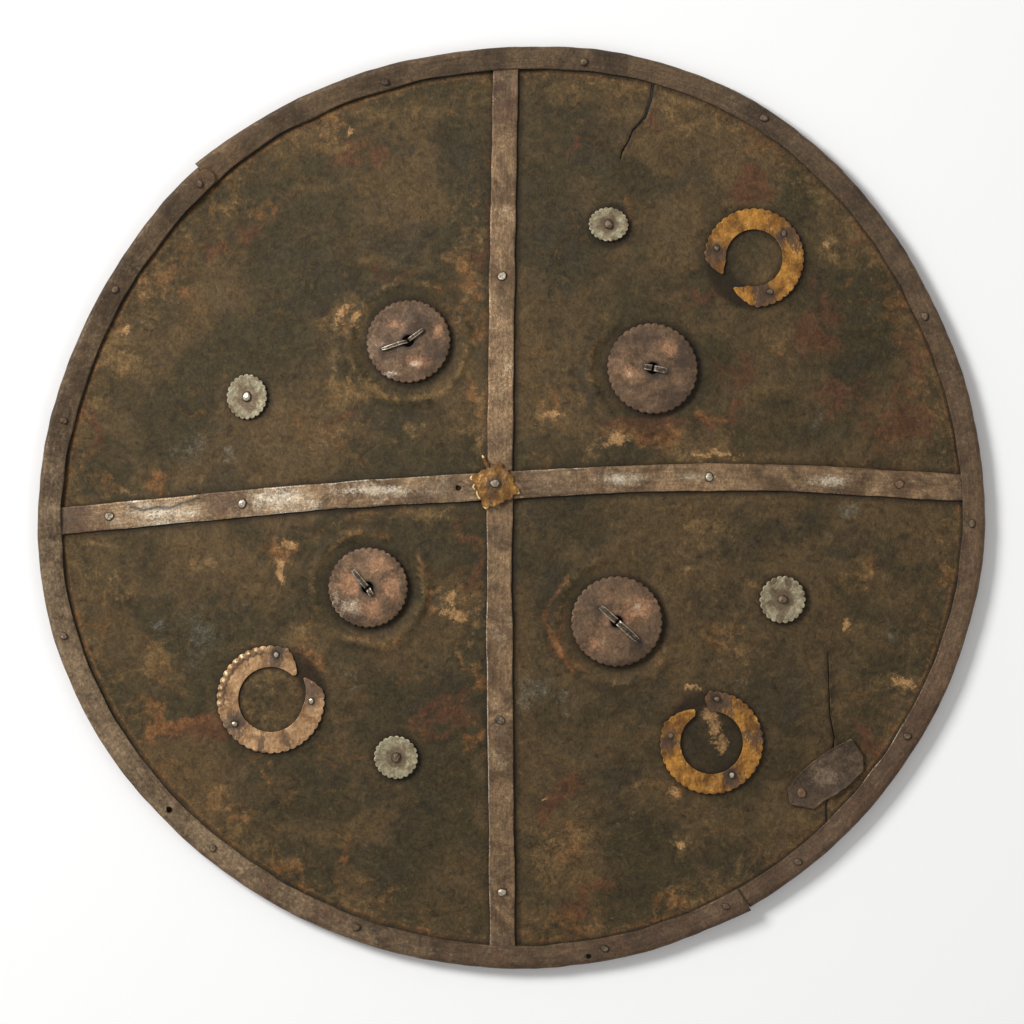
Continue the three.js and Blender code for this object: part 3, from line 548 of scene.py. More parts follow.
def makeHideFinish():
    # olive and brown ground, then soot, rust and ochre where marked, each broken up by its own noise
    look = hideLook
    material, tree, shader, place = startMaterial("rawhide")
    streaky = stretched(tree, place, (0.85, 1.0, 1.0), (0.3, 0.1, 0), 0.5)
    shifted = stretched(tree, place, (1, 1, 1), (0.7, 0.2, 0.4))
    broad = noise(tree, place, 16.0, 8.0, 0.64, 0.6)
    medium = noise(tree, streaky, 85.0, 12.0, 0.82, 0.7)
    fine = noise(tree, shifted, 260.0, 9.0, 0.8, 0.3)

    def marked(name, vector):
        # ragged patches where the hide carries that mark
        scale, low, high, raggedness = look["patches"][name]
        return patches(tree, vector, scale, mark(tree, name), low, high, raggedness)

    paint = tint(tree, between(tree, broad, 0.42, 0.62), look["olive"], look["brown"])
    paint = cover(tree, marked("soot", place), 0.55, paint, look["soot"])
    paint = cover(tree, marked("rust", shifted), 0.72, paint, look["rust"])
    glowing = between(tree, fine, 0.35, 0.6, 0.25, 0.75)
    paint = cover(tree, marked("orange", place), glowing, paint, look["orange"])
    # painted sheen: pale bluish patches where marked
    sheenShare = between(tree, fine, 0.44, 0.6, 0.05, 0.6)
    paint = cover(tree, marked("paintedSheen", shifted), sheenShare, paint, look["paintedSheen"])
    # rubbed through to ochre where the medium noise is high, and to sand in specks
    warmth = between(tree, noise(tree, shifted, 24.0, 5.0, 0.6), 0.45, 0.62)
    lowered = calc(tree, "MULTIPLY", mark(tree, "ochre"), 0.17)
    rubbed = between(tree, calc(tree, "ADD", medium, lowered), 0.53, 0.72)
    paint = cover(tree, rubbed, 0.6, paint, tint(tree, warmth, look["ochre"], look["orange"]))
    specks = between(tree, calc(tree, "ADD", fine, lowered), 0.6, 0.76)
    paint = cover(tree, specks, 0.34, paint, look["sand"])
    flaked = between(tree, fine, 0.4, 0.6, 0.5, 0.95)
    paint = cover(tree, marked("flake", streaky), flaked, paint, look["sand"])
    hollows = between(tree, fine, 0.34, 0.48, 0.6, 0.0)
    paint = tint(tree, hollows, paint, look["dirtAndShade"])
    paint = roughen(tree, paint, place, look["mottling"], look["hatching"])
    # grime and painted shade where marked: a shadow line along the rim, shadows on the lower right of the
    # fittings, shade in the washers' moats
    paint = cover(tree, mark(tree, "grime"), 0.8, paint, look["dirtAndShade"])
    tree.links.new(paint, shader["Base Color"])
    tree.links.new(between(tree, medium, 0.3, 0.7, 0.5, 0.78), shader["Roughness"])
    shader["Specular IOR Level"].default_value = look["gloss"]
    # relief: a weighted sum of the noises, the grain of the hide and its fine creases
    grain = noise(tree, stretched(tree, place, (1.0, 0.5, 1.0)), 620.0, 6.0, 0.7, 0.3)
    creases = addNode(tree, "ShaderNodeTexVoronoi", {"Vector": streaky, "Scale": 300.0},
                      feature="DISTANCE_TO_EDGE").outputs[0]
    relief = calc(tree, "MULTIPLY", medium, 1.8)
    for height, weight in ((between(tree, creases, 0.0, 0.12), 0.12), (fine, 0.9), (grain, 0.4)):
        relief = calc(tree, "ADD", relief, calc(tree, "MULTIPLY", height, weight))
    tree.links.new(bumpFrom(tree, relief, look["bump"]), shader["Normal"])
    return material


# scale is that of the broad mottling, paleFrom the ends of the threshold of the pale patches,
# and rough the roughness of its smoothest and roughest places


ironLooks = {
    "rimIron": dict(dark=color(71, 55, 37), middle=color(103, 81, 55), pale=color(148, 124, 94),
                    shine=color(190, 176, 152), metal=0.3, rough=(0.48, 0.7), scale=34.0, bump=0.2,
                    paleFrom=(0.62, 1.05)),
    "strapIron": dict(dark=color(98, 76, 54), middle=color(154, 124, 90), pale=color(192, 170, 138),
                      shine=color(226, 214, 192), metal=0.5, rough=(0.36, 0.62), scale=44.0, bump=0.16,
                      paleFrom=(0.58, 1.0)),
    "washerIron": dict(dark=color(86, 66, 47), middle=color(126, 97, 70), pale=color(188, 138, 100),
                       shine=color(212, 192, 166), metal=0.35, rough=(0.42, 0.68), scale=60.0, bump=0.16,
                       paleFrom=(0.6, 1.05)),
    "rivetIron": dict(dark=color(66, 52, 38), middle=color(98, 80, 60), pale=color(150, 130, 104),
                      shine=color(210, 198, 176), metal=0.4, rough=(0.4, 0.65), scale=240.0, bump=0.08,
                      paleFrom=(0.6, 0.9)),
    "paleMetal": dict(dark=color(122, 105, 76), middle=color(160, 150, 119), pale=color(186, 181, 150),
                      shine=color(214, 206, 180), metal=0.12, rough=(0.5, 0.75), scale=170.0, bump=0.14,
                      paleFrom=(0.45, 0.8)),
    "pinIron": dict(dark=color(46, 36, 26), middle=color(84, 68, 52), pale=color(158, 138, 112),
                    shine=color(206, 192, 170), metal=0.45, rough=(0.38, 0.58), scale=300.0, bump=0.08,
                    paleFrom=(0.8, 1.15)),
    "patchIron": dict(dark=color(60, 46, 34), middle=color(98, 78, 57), pale=color(140, 119, 94),
                      shine=color(170, 156, 134), metal=0.3, rough=(0.45, 0.7), scale=60.0, bump=0.16,
                      paleFrom=(0.6, 0.95)),
}
oldIron = {
    "rust": color(100, 68, 44), "grime": color(30, 22, 16), "brightMetal": 0.8, "pitScale": 620.0,
    "mottling": (240.0, 8.0, 0.8, 0.7, 1.3), "hatching": (800.0, 6.0, 0.4, 0.74, 1.24),
    "streaked": ("rimIron", "strapIron"),
}


def makeIron(name):
    # mottled old metal: dark, middle and pale tones in ragged patches, bright where marked, by wear and by
    # painted highlights
    look = ironLooks[name]
    material, tree, shader, place = startMaterial(name)
    shifted = stretched(tree, place, (1, 1, 1), (0.2, 0.5, 0.1))
    broad = noise(tree, place, look["scale"], 9.0, 0.72, 0.6)
    paint = tint(tree, between(tree, broad, 0.38, 0.62), look["dark"], look["middle"])
    lifted = calc(tree, "MULTIPLY", mark(tree, "pale"), 0.45)
    paler = patches(tree, shifted, look["scale"] * 1.7, lifted, *look["paleFrom"], 0.8)
    paint = cover(tree, paler, 0.8, paint, look["pale"])
    reddened = calc(tree, "MULTIPLY", mark(tree, "rust"), 0.4)
    rusted = patches(tree, place, 90.0, reddened, 0.55, 0.95, 1.2)
    paint = cover(tree, rusted, 0.62, paint, oldIron["rust"])
    paint = roughen(tree, paint, place, oldIron["mottling"], oldIron["hatching"])
    if name in oldIron["streaked"]:
        # streaks drawn out along the bar
        onBar = {0: mark(tree, "along"), 1: mark(tree, "across")}
        bar = addNode(tree, "ShaderNodeCombineXYZ", onBar).outputs[0]
        streaks = noise(tree, stretched(tree, bar, (0.1, 1.0, 1.0)), 640.0, 6.0, 0.8, 0.3)
        paint = shade(tree, paint, streaks, 0.3, 0.7, 0.72, 1.34)
    pits = useGroup(tree, pitting, Vector=place, Scale=oldIron["pitScale"])
    height = useGroup(tree, pitting, "Height", Vector=place, Scale=oldIron["pitScale"])
    paint = cover(tree, pits, 0.3, paint, look["dark"])
    wornAndHighlit = patches(tree, place, 120.0, mark(tree, "wear"), 0.95, 1.4, 1.3)
    paint = cover(tree, wornAndHighlit, 0.8, paint, look["shine"])
    paint = cover(tree, mark(tree, "grime"), 0.9, paint, oldIron["grime"])
    tree.links.new(paint, shader["Base Color"])
    # most metallic where worn and where highlights are painted, not at all under grime and painted shade
    metal = calc(tree, "MULTIPLY", wornAndHighlit, oldIron["brightMetal"] - look["metal"])
    metal = calc(tree, "ADD", metal, look["metal"])
    clean = calc(tree, "SUBTRACT", 1.0, mark(tree, "grime"), clamp=True)
    tree.links.new(calc(tree, "MULTIPLY", metal, clean), shader["Metallic"])
    smoothest, roughest = look["rough"]
    rough = between(tree, broad, 0.35, 0.65, roughest, smoothest)
    rough = calc(tree, "SUBTRACT", rough, calc(tree, "MULTIPLY", wornAndHighlit, 0.12))
    tree.links.new(rough, shader["Roughness"])
    tree.links.new(bumpFrom(tree, height, look["bump"]), shader["Normal"])
    return material


# stained: the ends of the threshold of the dark stains
brassLooks = {
    "brass": dict(dark=color(118, 76, 28), middle=color(190, 132, 52), pale=color(222, 170, 84),
                  stain=color(66, 46, 34), shine=color(244, 214, 138), metal=0.45, stained=(0.6, 0.74)),
    "pinkBrass": dict(dark=color(134, 98, 62), middle=color(192, 150, 106), pale=color(220, 184, 140),
                      stain=color(82, 62, 46), shine=color(240, 220, 176), metal=0.4, stained=(0.62, 0.76)),
    "rosetteBrass": dict(dark=color(112, 74, 30), middle=color(164, 116, 50), pale=color(198, 148, 76),
                         stain=color(78, 56, 34), shine=color(246, 212, 142), metal=0.4, stained=(0.6, 0.75)),
}
brassGrime = color(34, 24, 16)


def makeBrass(name):
    # old brass: three warm tones, dark stains with slanting strokes, bright where rubbed and where highlights
    # are painted
    look = brassLooks[name]
    material, tree, shader, place = startMaterial(name)
    slanted = stretched(tree, place, (1.0, 0.35, 1.0), (0.1, 0.3, 0), 0.6)
    broad = noise(tree, place, 120.0, 6.0, 0.62, 0.4)
    paint = tint(tree, between(tree, broad, 0.36, 0.66), look["dark"], look["middle"])
    paler = patches(tree, place, 210.0, 0.0, 0.5, 0.8, 0.7)
    paint = cover(tree, paler, 0.7, paint, look["pale"])
    stainedHere = calc(tree, "MULTIPLY", mark(tree, "stain"), 0.32)
    stains = patches(tree, slanted, 170.0, stainedHere, *look["stained"], 1.3)
    paint = cover(tree, stains, 0.8, paint, look["stain"])
    wornAndHighlit = patches(tree, place, 260.0, mark(tree, "wear"), 1.05, 1.3, 0.8)
    paint = tint(tree, wornAndHighlit, paint, look["shine"])
    paint = shade(tree, paint, noise(tree, slanted, 640.0, 5.0, 0.75, 0.2), 0.3, 0.7, 0.74, 1.22)
    paint = cover(tree, mark(tree, "grime"), 0.9, paint, brassGrime)
    tree.links.new(paint, shader["Base Color"])
    clean = calc(tree, "SUBTRACT", 1.0, calc(tree, "MAXIMUM", stains, mark(tree, "grime")), clamp=True)
    tree.links.new(calc(tree, "MULTIPLY", clean, look["metal"]), shader["Metallic"])
    tree.links.new(between(tree, broad, 0.35, 0.65, 0.6, 0.42), shader["Roughness"])
    lines = useGroup(tree, scratches, Vector=slanted, Scale=900.0)
    height = useGroup(tree, pitting, "Height", Vector=place, Scale=700.0)
    height = calc(tree, "SUBTRACT", height, calc(tree, "MULTIPLY", lines, 0.2))
    tree.links.new(bumpFrom(tree, height, 0.12), shader["Normal"])
    return material


rawhide = makeHideFinish()
iron = {name: makeIron(name) for name in ironLooks}
brass = {name: makeBrass(name) for name in brassLooks}
print("finishes made")

# Iron straps: a flat bar laid on the dome

straps = {
    "thickness": 1.0, "lip": 0.25,
    "gap": 0.3,         # of every fitting from what it lies on
    "tuck": 5.0,        # how far the ends reach under the rim
    "ramp": 11.0,       # over which the level strap climbs the upright one
    "spacing": 1.0,     # between the points along a strap
    "crossingX": -6.2,
    "upright": {"width": 13.4, "points": [(-3.4, 200), (-4.9, 110), (-5.9, 12), (-6.1, -70), (-5.0, -181)]},
    "level": {"width": 14.2, "points": [(-200, -3.6), (-101, 5.6), (-21, 10.6), (74, 15.4), (144, 15.6),
                                        (205, 12.3)]},
    "emptyHole": (-27.8, 1.5),      # x and radius
    # height or x of each rivet, and its look
    "rivetsUp": [(121.6, dict(wear=0.9, grime=0.5, flat=0.3)), (-111.8, dict(wear=0.9, grime=0.6, flat=0.4)),
                 (-203.1, dict(wear=0.9, grime=0.3))],
    "rivetsAcross": [(-212.1, dict(wear=1.0, grime=0.4, flat=0.4)), (-141.6, dict(wear=0.9, grime=0.6)),
                     (104.1, dict(wear=0.8, grime=0.6)),
                     (205, dict(wear=0.1, grime=0.5, finish="washerIron"))],
    # soft ovals: x, y, half width, half height
    # the level strap's bright ovals are partly rubbed metal, partly painted sheen
    "levelPolishAndSheen": [(-188, -3, 22, 9), (-122, 4, 24, 9), (-172, -3, 14, 5), (-70, 9, 34, 4), (60, 15, 18, 4),
                    (97, 16, 14, 3), (170, 14, 20, 5)],
    "uprightPolish": [(-4, 70, 5, 26), (-6, -60, 4, 30), (-6, -125, 6, 18), (-4, 160, 5, 14)],
    "stained": [(-232, -6, 22, 12), (-154, 3, 8, 9), (206, 12, 8, 8), (-5, 215, 10, 14)],
    "dulled": [(-32, 10, 20, 9), (12, 13, 12, 9), (-6, -16, 9, 12), (-6, 36, 9, 12)],
    # a crooked line along which the polish has flaked off
    "flaking": [(-201, 0.5), (-194, -1.5), (-187, 0.3), (-180, -0.4), (-174, 2.2), (-165, 5)],
}


def strapLine(points):
    # a smooth curve through the points, run on straight at both ends until it is under the rim,
    # each stretch a cubic of its four neighbouring points, then spaced evenly along its length
    given = np.array(points, dtype=float)
    farthest, step = 80, 0.25      # of the straight run that is tried at each end
    ends = []
    for tip, inner in ((given[0], given[1]), (given[-1], given[-2])):
        run = tip + np.arange(0, farthest, step)[:, None] * (tip - inner) / np.linalg.norm(tip - inner)
        ends.append(run[np.argmax(inFromRim(run[:, 0], run[:, 1]) <= -straps["tuck"])])
    knots = np.concatenate([[ends[0]], given, [ends[1]]])
    padded = np.concatenate([knots[:1], knots, knots[-1:]])
    t = np.linspace(0, 1, 200, endpoint=False)[None, :, None]
    p0, p1, p2, p3 = (padded[k : k + len(knots) - 1, None, :] for k in range(4))
    v0, v1 = (p2 - p0) / 2, (p3 - p1) / 2
    curve = (2 * p1 - 2 * p2 + v0 + v1) * t**3 + (-3 * p1 + 3 * p2 - 2 * v0 - v1) * t**2 + v0 * t + p1
    curve = np.concatenate([curve.reshape(-1, 2), knots[-1:]])
    along = np.concatenate([[0], np.cumsum(np.linalg.norm(np.diff(curve, axis=0), axis=1))])
    even = np.linspace(0, along[-1], int(along[-1] / straps["spacing"]) + 1)
    return np.stack([np.interp(even, along, curve[:, k]) for k in (0, 1)], axis=1), even


uprightLine, uprightAlong = strapLine(straps["upright"]["points"])
levelLine, levelAlong = strapLine(straps["level"]["points"])
crossingAlong = float(np.interp(straps["crossingX"], levelLine[:, 0], levelAlong))
levelClimb = straps["thickness"] + straps["gap"]


def barSection(width, thickness, lip, across):
    # a flat bar's section as one loop: its top from left to right, then its sole back, corners eased
    # by the lip, with that many points across
    side = np.linspace(-width / 2 + lip, width / 2 - lip, across)
    top = np.concatenate([[[-width / 2, thickness - lip]],
                          np.stack([side, np.full(across, thickness)], axis=1),
                          [[width / 2, thickness - lip]]])
    sole = np.stack([top[::-1, 0], np.full(across + 2, 0.0)], axis=1)
    return np.concatenate([top, sole])


def makeStrap(name, line, along, width, climb, seed, polishAndSheen, bright, nodes):
    # the section carried along the line, its edges wandering a little and its top slightly dented
    section = barSection(width, straps["thickness"], straps["lip"], 17)
    side = leftOf(line)
    across = -section[None, :, 0]
    up = np.broadcast_to(section[None, :, 1], (len(line), len(section)))
    onTop = up > 0.5
    middle = flatPoints(line[:, 0], line[:, 1])
    wander = 0.15 * ripple(middle, 30.0, seed) + 0.05 * ripple(middle, 8.0, seed + 1)
    edgeShare = np.abs(across) / (width / 2)
    widened = 1 + 2 * wander[:, None] / width * edgeShare
    x = line[:, :1] + side[:, :1] * across * widened
    y = line[:, 1:] + side[:, 1:] * across * widened
    flat = flatPoints(x, y)
    dents = 0.07 * ripple(flat, 16.0, seed + 2) + 0.04 * ripple(flat, 5.0, seed + 3)
    points = onFace(x, y, straps["gap"] + up + np.where(onTop, dents, 0) + climb[:, None])
    onEdge = (edgeShare > 0.93) * onTop
    stained = spots(x, y, straps["stained"])
    # the edges are worn a little and carry painted highlights; the level strap's rubbed spots carry a painted
    # sheen too
    wear = (onEdge * (0.2 + 0.3 * bright(x, y, across)) + polishAndSheen(x, y)) * (1 - stained)
    # grime at both ends, where the edge falls back, under stains, and where the polish has gone
    grime = 0.5 * bell(np.minimum(along, along[-1] - along), 9.0)[:, None]
    grime = grime + 0.3 * onEdge * ease(-wander, 0.0, 0.3)[:, None]
    grime = grime + 0.4 * stained + 0.3 * spots(x, y, straps["dulled"])
    grime = grime + onTop * bell(lineDistance(x, y, straps["flaking"]), 0.9)
    marks = {"wear": wear, "grime": np.clip(grime, 0, 1), "pale": polishAndSheen(x, y), "rust": 1.2 * stained,
             "along": (along * mm)[:, None], "across": across * mm}
    return bandPiece(name, points, marks, iron["strapIron"], nodes)


def levelPolishAndSheen(x, y):
    # bright stretches of the level strap, partly rubbed to bare metal and partly painted sheen, over an even
    # painted sheen left of x = 60
    return 0.6 * spots(x, y, straps["levelPolishAndSheen"]) + 0.12 * (x < 60)


def levelEdgeHighlight(x, y, across):
    # painted highlights on the edges: the lower edge shines all along, more on the left, and the upper one in
    # the middle
    lower = np.where(across < 0, 1.0, 0.0)
    return np.where(x < -100, 0.9 * lower, 0.9 * (1.0 - lower) * (x < 40) + 0.6 * lower)


def uprightEdgeHighlight(x, y, across):
    # painted highlights on the edges: the left edge is bright below the crossing, the right one less, there
    # and near the top
    below, left, right = ease(-y, 0, 12), ease(-across, 0, 4), ease(across, 0, 4)
    return 1.8 * left * below + 0.7 * right * ease(y, 40, 60) + 0.5 * right * below


def uprightPolish(x, y):
    # bright stretches of the upright strap
    return 0.3 * spots(x, y, straps["uprightPolish"])


away = np.abs(levelAlong - crossingAlong) - (straps["upright"]["width"] / 2 + 2)
levelRise = levelClimb * np.clip(1 - away / straps["ramp"], 0, 1)
makeStrap("strapUpright", uprightLine, uprightAlong, straps["upright"]["width"],
          np.zeros(len(uprightLine)), 11, uprightPolish, uprightEdgeHighlight, ["strap_vertical"])
levelStrap = makeStrap("strapLevel", levelLine, levelAlong, straps["level"]["width"],
                       levelRise, 21, levelPolishAndSheen, levelEdgeHighlight, ["strap_horizontal"])
holeX, holeRadius = straps["emptyHole"]
holeY = float(np.interp(holeX, levelLine[:, 0], levelLine[:, 1]))
holeZ = float(faceHeight(holeX, holeY))
cutHoles(levelStrap, [roundCutter(holeX, holeY, holeRadius, holeZ - 2, holeZ + 4, 0.08)])
print("straps laid")

# Iron rim: a channel folded over the hide's edge, in two lengths with lapped ends

rim = {
    "sheet": 1.2, "fold": 2.4, "height": 8.8, "lip": 0.3,   # thickness, outer bend, depth and eased edge
    "spacing": 1.5,         # between the points round it
    "upperJoint": 132.6,    # bearings of its two joints
    "lowerJoint": 300.8,
    # the upper length runs on under the lower one by the lap, whose flange comes down over the ease
    "lap": 15.0, "ease": 18.0, "tongue": 4.6, "gap": 0.3,
    # height and run of the outline's swell towards the last end of each length
    "upperSwell": (2.4, 70.0), "lowerSwell": (1.8, 32.0),
    "droop": 1.1,           # of the flange on to the hide, away from the straps
    "strapBearings": (91.0, 178.6, 271.3, 3.4),
    # a bearing, and an oval about it: turn and depth from the outline, half widths of both
    "rubbed": (192, (0, 6, 22, 9)), "pale": (214, (0, 6, 52, 12)),
    # stretches: strength, bearing, spread
    # the first list here is a painted highlight along the lip at the lower right, where it faces the light
    "highlitLip": [(0.6, 326, 12)], "reddened": [(0.7, 318, 75), (0.5, 130, 6)],
    # painted shade on the rim's right side, away from the light
    "shadedRight": [(0.15, 48, 24), (0.13, 308, 26)],
    # bearing, depth in from the outline, radius
    "bore": (279.8, 3.9, 1.35), "emptyNail": (221.5, 5.8, 1.5),
}
degreesPer = 180 / (math.pi * board["outline"])


def channelSection():
    # the channel as one loop, with pairs of points that face each other through the sheet:
    # the outside from the front lip round the edge to the back lip, then the inside back again
    fold, sheet, height = rim["fold"], rim["sheet"], rim["height"]
    run = np.linspace(board["flange"], fold, 11)
    turn = np.radians(np.linspace(90, 0, 6))[1:-1]

    def side(inset, cornerRadius):
        # one face of the sheet, set in from the outside by the inset
        front = np.stack([run, np.full(len(run), height - inset)], axis=1)
        front[0, 0] -= rim["lip"]
        corner = np.stack([fold - cornerRadius * np.cos(turn),
                           height - fold + cornerRadius * np.sin(turn)], axis=1)
        wall = np.array([[inset, height - fold], [inset, height / 2], [inset, fold]])
        backCorner = corner[::-1] * [1, -1] + [0, height]
        back = front[::-2] * [1, -1] + [0, height]
        return np.concatenate([front, corner, wall, backCorner, back])

    return np.concatenate([side(0.0, fold), side(sheet, fold - sheet)[::-1]])


def flangeLift(bearing):
    # how far the lower length's front flange is raised over the upper length's ends
    fromEnd = np.minimum(bearing - rim["upperJoint"], rim["lowerJoint"] - bearing) / degreesPer
    share = 1 - (fromEnd - rim["lap"] - rim["gap"]) / rim["ease"]
    return (rim["sheet"] + rim["gap"]) * np.clip(share, 0, 1)


def stretches(bearing, places):
    # a sum of bells, each with its own strength, bearing and spread
    return sum(strength * bell(turnApart(bearing, at), spread) for strength, at, spread in places)


def makeRim(name, first, last, swell, lifted, startRun, endRun, seed, nodes):
    # the section carried round the outline; each flange row may run on past the ends by its own length
    section = channelSection()
    inward, up = section[:, 0], section[:, 1]
    count = int((last - first) / degreesPer / rim["spacing"])
    base = np.linspace(first, last, count)[:, None]
    isFlange = (up > rim["height"] / 2) & (inward > rim["fold"] - 0.01)
    fromStart, fromEnd = (base - first) / degreesPer, (last - base) / degreesPer
    bearing = base - startRun(inward) * degreesPer * bell(fromStart, 9.0) * isFlange
    bearing = bearing + endRun(inward) * degreesPer * bell(fromEnd, 9.0) * isFlange
    # the outline swells towards the length's last end, and the flange follows its own width
    width = flangeWidth(bearing) / board["flange"]
    depth = np.where(inward > rim["fold"], rim["fold"] + (inward - rim["fold"]) * width, inward)
    height, run = swell
    swelling = height * np.clip(1 - fromEnd / run, 0, 1) ** 2 * (inward <= rim["fold"])
    x, y = polar(bearing, outlineRadius(bearing) - depth + swelling)
    z = np.broadcast_to(up, x.shape)
    smooth = np.stack([x, y, z], axis=-1)
    # the flange droops on to the hide away from the straps, and is hammered a little uneven
    onFront = ease(z, rim["height"] * 0.4, rim["height"] * 0.8)
    share = ease(inward, rim["fold"], board["flange"])
    nearStrap = np.min([turnApart(bearing, at) for at in rim["strapBearings"]], axis=0)
    z = z - rim["droop"] * share * ease(nearStrap, 2.4, 6.0) * onFront
    z = z + (flangeLift(bearing) * onFront if lifted else 0)
    dents = 0.09 * ripple(smooth, 17.0, seed) + 0.05 * ripple(smooth, 6.0, seed + 1)
    z = z + onFront * dents * (inward > 1)
    nicks = 0.08 * ripple(smooth, 11.0, seed + 2) + 0.14 * ripple(smooth, 60.0, seed + 3)
    lipWander = 0.25 * ripple(smooth, 22.0, seed + 4) * (inward > 12)
    stretch = 1 + nicks * (inward < 3) / np.hypot(x, y) + lipWander / np.hypot(x, y)
    points = np.stack([x * stretch, y * stretch, z], axis=-1)
    # rubbed a little all over the front, more at the flange's lip and on the outer bend, with a painted
    # highlight along the lip at the lower right
    (rubbedAt, rubbedOval), (paleAt, paleOval) = rim["rubbed"], rim["pale"]
    rubbed = 0.2 * spots(turnApart(bearing, rubbedAt), inward, [rubbedOval])
    atLip = np.abs(inward - board["flange"]) < 0.9
    lipWearAndHighlight = (0.15 + stretches(bearing, rim["highlitLip"])) * atLip
    marks = {
        "wear": (0.16 + rubbed + lipWearAndHighlight + 0.12 * (inward < 2.2)) * onFront,
        "pale": spots(turnApart(bearing, paleAt), inward, [paleOval]),
        # painted shade on the right side of the rim
        "rust": stretches(bearing, rim["reddened"]), "grime": stretches(bearing, rim["shadedRight"]),
        "along": bearing / degreesPer * mm, "across": inward * mm,
    }
    return bandPiece(name, points, marks, iron["rimIron"], nodes)


def squareRun(inward):
    # the lapped end runs on by the whole lap, square across the flange
    return rim["lap"] * ease(inward, rim["fold"], rim["fold"] + 1.5)


def roundRun(inward):
    # the raised flange's end is a rounded tongue, half of an oval across the flange
    middle = (rim["fold"] + board["flange"]) / 2
    half = (board["flange"] - rim["fold"]) / 2
    return rim["tongue"] * np.sqrt(np.clip(1 - ((inward - middle) / half) ** 2, 0, 1))


def noRun(inward):
    # the end is cut off flush
    return np.zeros_like(inward)


gapTurn = rim["gap"] * degreesPer
makeRim("rimUpper", rim["lowerJoint"] - 360 + gapTurn, rim["upperJoint"], rim["upperSwell"], False,
        squareRun, squareRun, 31, ["rim_upper"])
rimLower = makeRim("rimLower", rim["upperJoint"] + gapTurn, rim["lowerJoint"], rim["lowerSwell"], True,
                   roundRun, noRun, 41, ["rim_lower"])


def rimPlace(bearing, depth):
    # a place on the rim, that far in from the outline
    return polar(bearing, float(outlineRadius(bearing)) - depth)


belowRim, insideRim, overRim = -2, 4, 14      # heights between which its holes are cut


def rimCutter(place, low, uneven):
    # a round cutter on the rim, from the low height up to over it
    bearing, depth, radius = place
    return roundCutter(*rimPlace(bearing, depth), radius, low, overRim, uneven)


cutHoles(rimLower, [rimCutter(rim["bore"], belowRim, 0.08), rimCutter(rim["emptyNail"], insideRim, 0.06)])
print("rim folded")

# Hide board

# legs: bearing and length of the pin's two legs, and width theirs; ring: the bearings between which the
# hide's moulded ring is left; pale, bright and dark: soft ovals about the washer's middle
washers = [
    dict(name="upper_left", x=-54, y=87.4, radius=22.2, legs=((37, 10.1), (198, 14.9)), width=1.9,
         ring=(0, 340), pale=[(-9, 9, 6, 3), (3, -11, 8, 3.5), (16, 6, 3, 6)],
         bright=[(4, -12, 6, 3), (-9, -17, 6, 2)], dark=[(5, 12, 9, 6), (13, -6, 7, 6), (-8, -4, 9, 5)]),
    dict(name="upper_right", x=74.4, y=73.1, radius=24.1, legs=((348, 7.6), (172, 4.6)), width=3.0,
         ring=(150, 285), pale=[(-13, -2, 6, 7), (10, 10, 5, 5)], bright=[(-13, -3, 3, 4)],
         dark=[(8, -14, 9, 6), (16, 4, 5, 9), (0, 16, 9, 4), (4, -4, 6, 5)]),
    dict(name="lower_left", x=-75.2, y=-42.1, radius=21.2, legs=((130, 12.4), (300, 4.6)), width=2.6,
         ring=(60, 400), pale=[(-9, 4, 10, 9), (5, 11, 9, 6), (12, 2, 6, 8), (2, -11, 9, 6)],
         bright=[(-10, -10, 8, 6), (-5, -13, 6, 4), (-17, -6, 3, 5)], dark=[(-10, -15, 5, 2)]),
    dict(name="lower_right", x=55.6, y=-59.9, radius=24.1, legs=((138, 11.9), (318, 15.1)), width=3.2,
         ring=(95, 325), pale=[(10, 7, 9, 9), (-8, -11, 8, 6), (0, 1, 8, 7)],
         bright=[(11, 7, 4, 4), (-7, -11, 3, 3)], dark=[(-14, 10, 6, 6), (12, -12, 6, 5)]),
]
discs = [
    dict(name="top", x=51.4, y=149.1, radiusX=10.6, radiusY=9.2, rivet=dict(wear=0.2, grime=0.5)),
    dict(name="left", x=-139.1, y=58.3, radiusX=10.9, radiusY=12.0, rivet=dict(wear=1.0, grime=0.6)),
    dict(name="bottom", x=-60.6, y=-131.6, radiusX=11.7, radiusY=11.7, rivet=dict(wear=0.1, grime=0.8)),
    dict(name="right", x=143, y=-48.5, radiusX=12.4, radiusY=12.6, rivet=dict(wear=0.2, grime=0.5)),
]
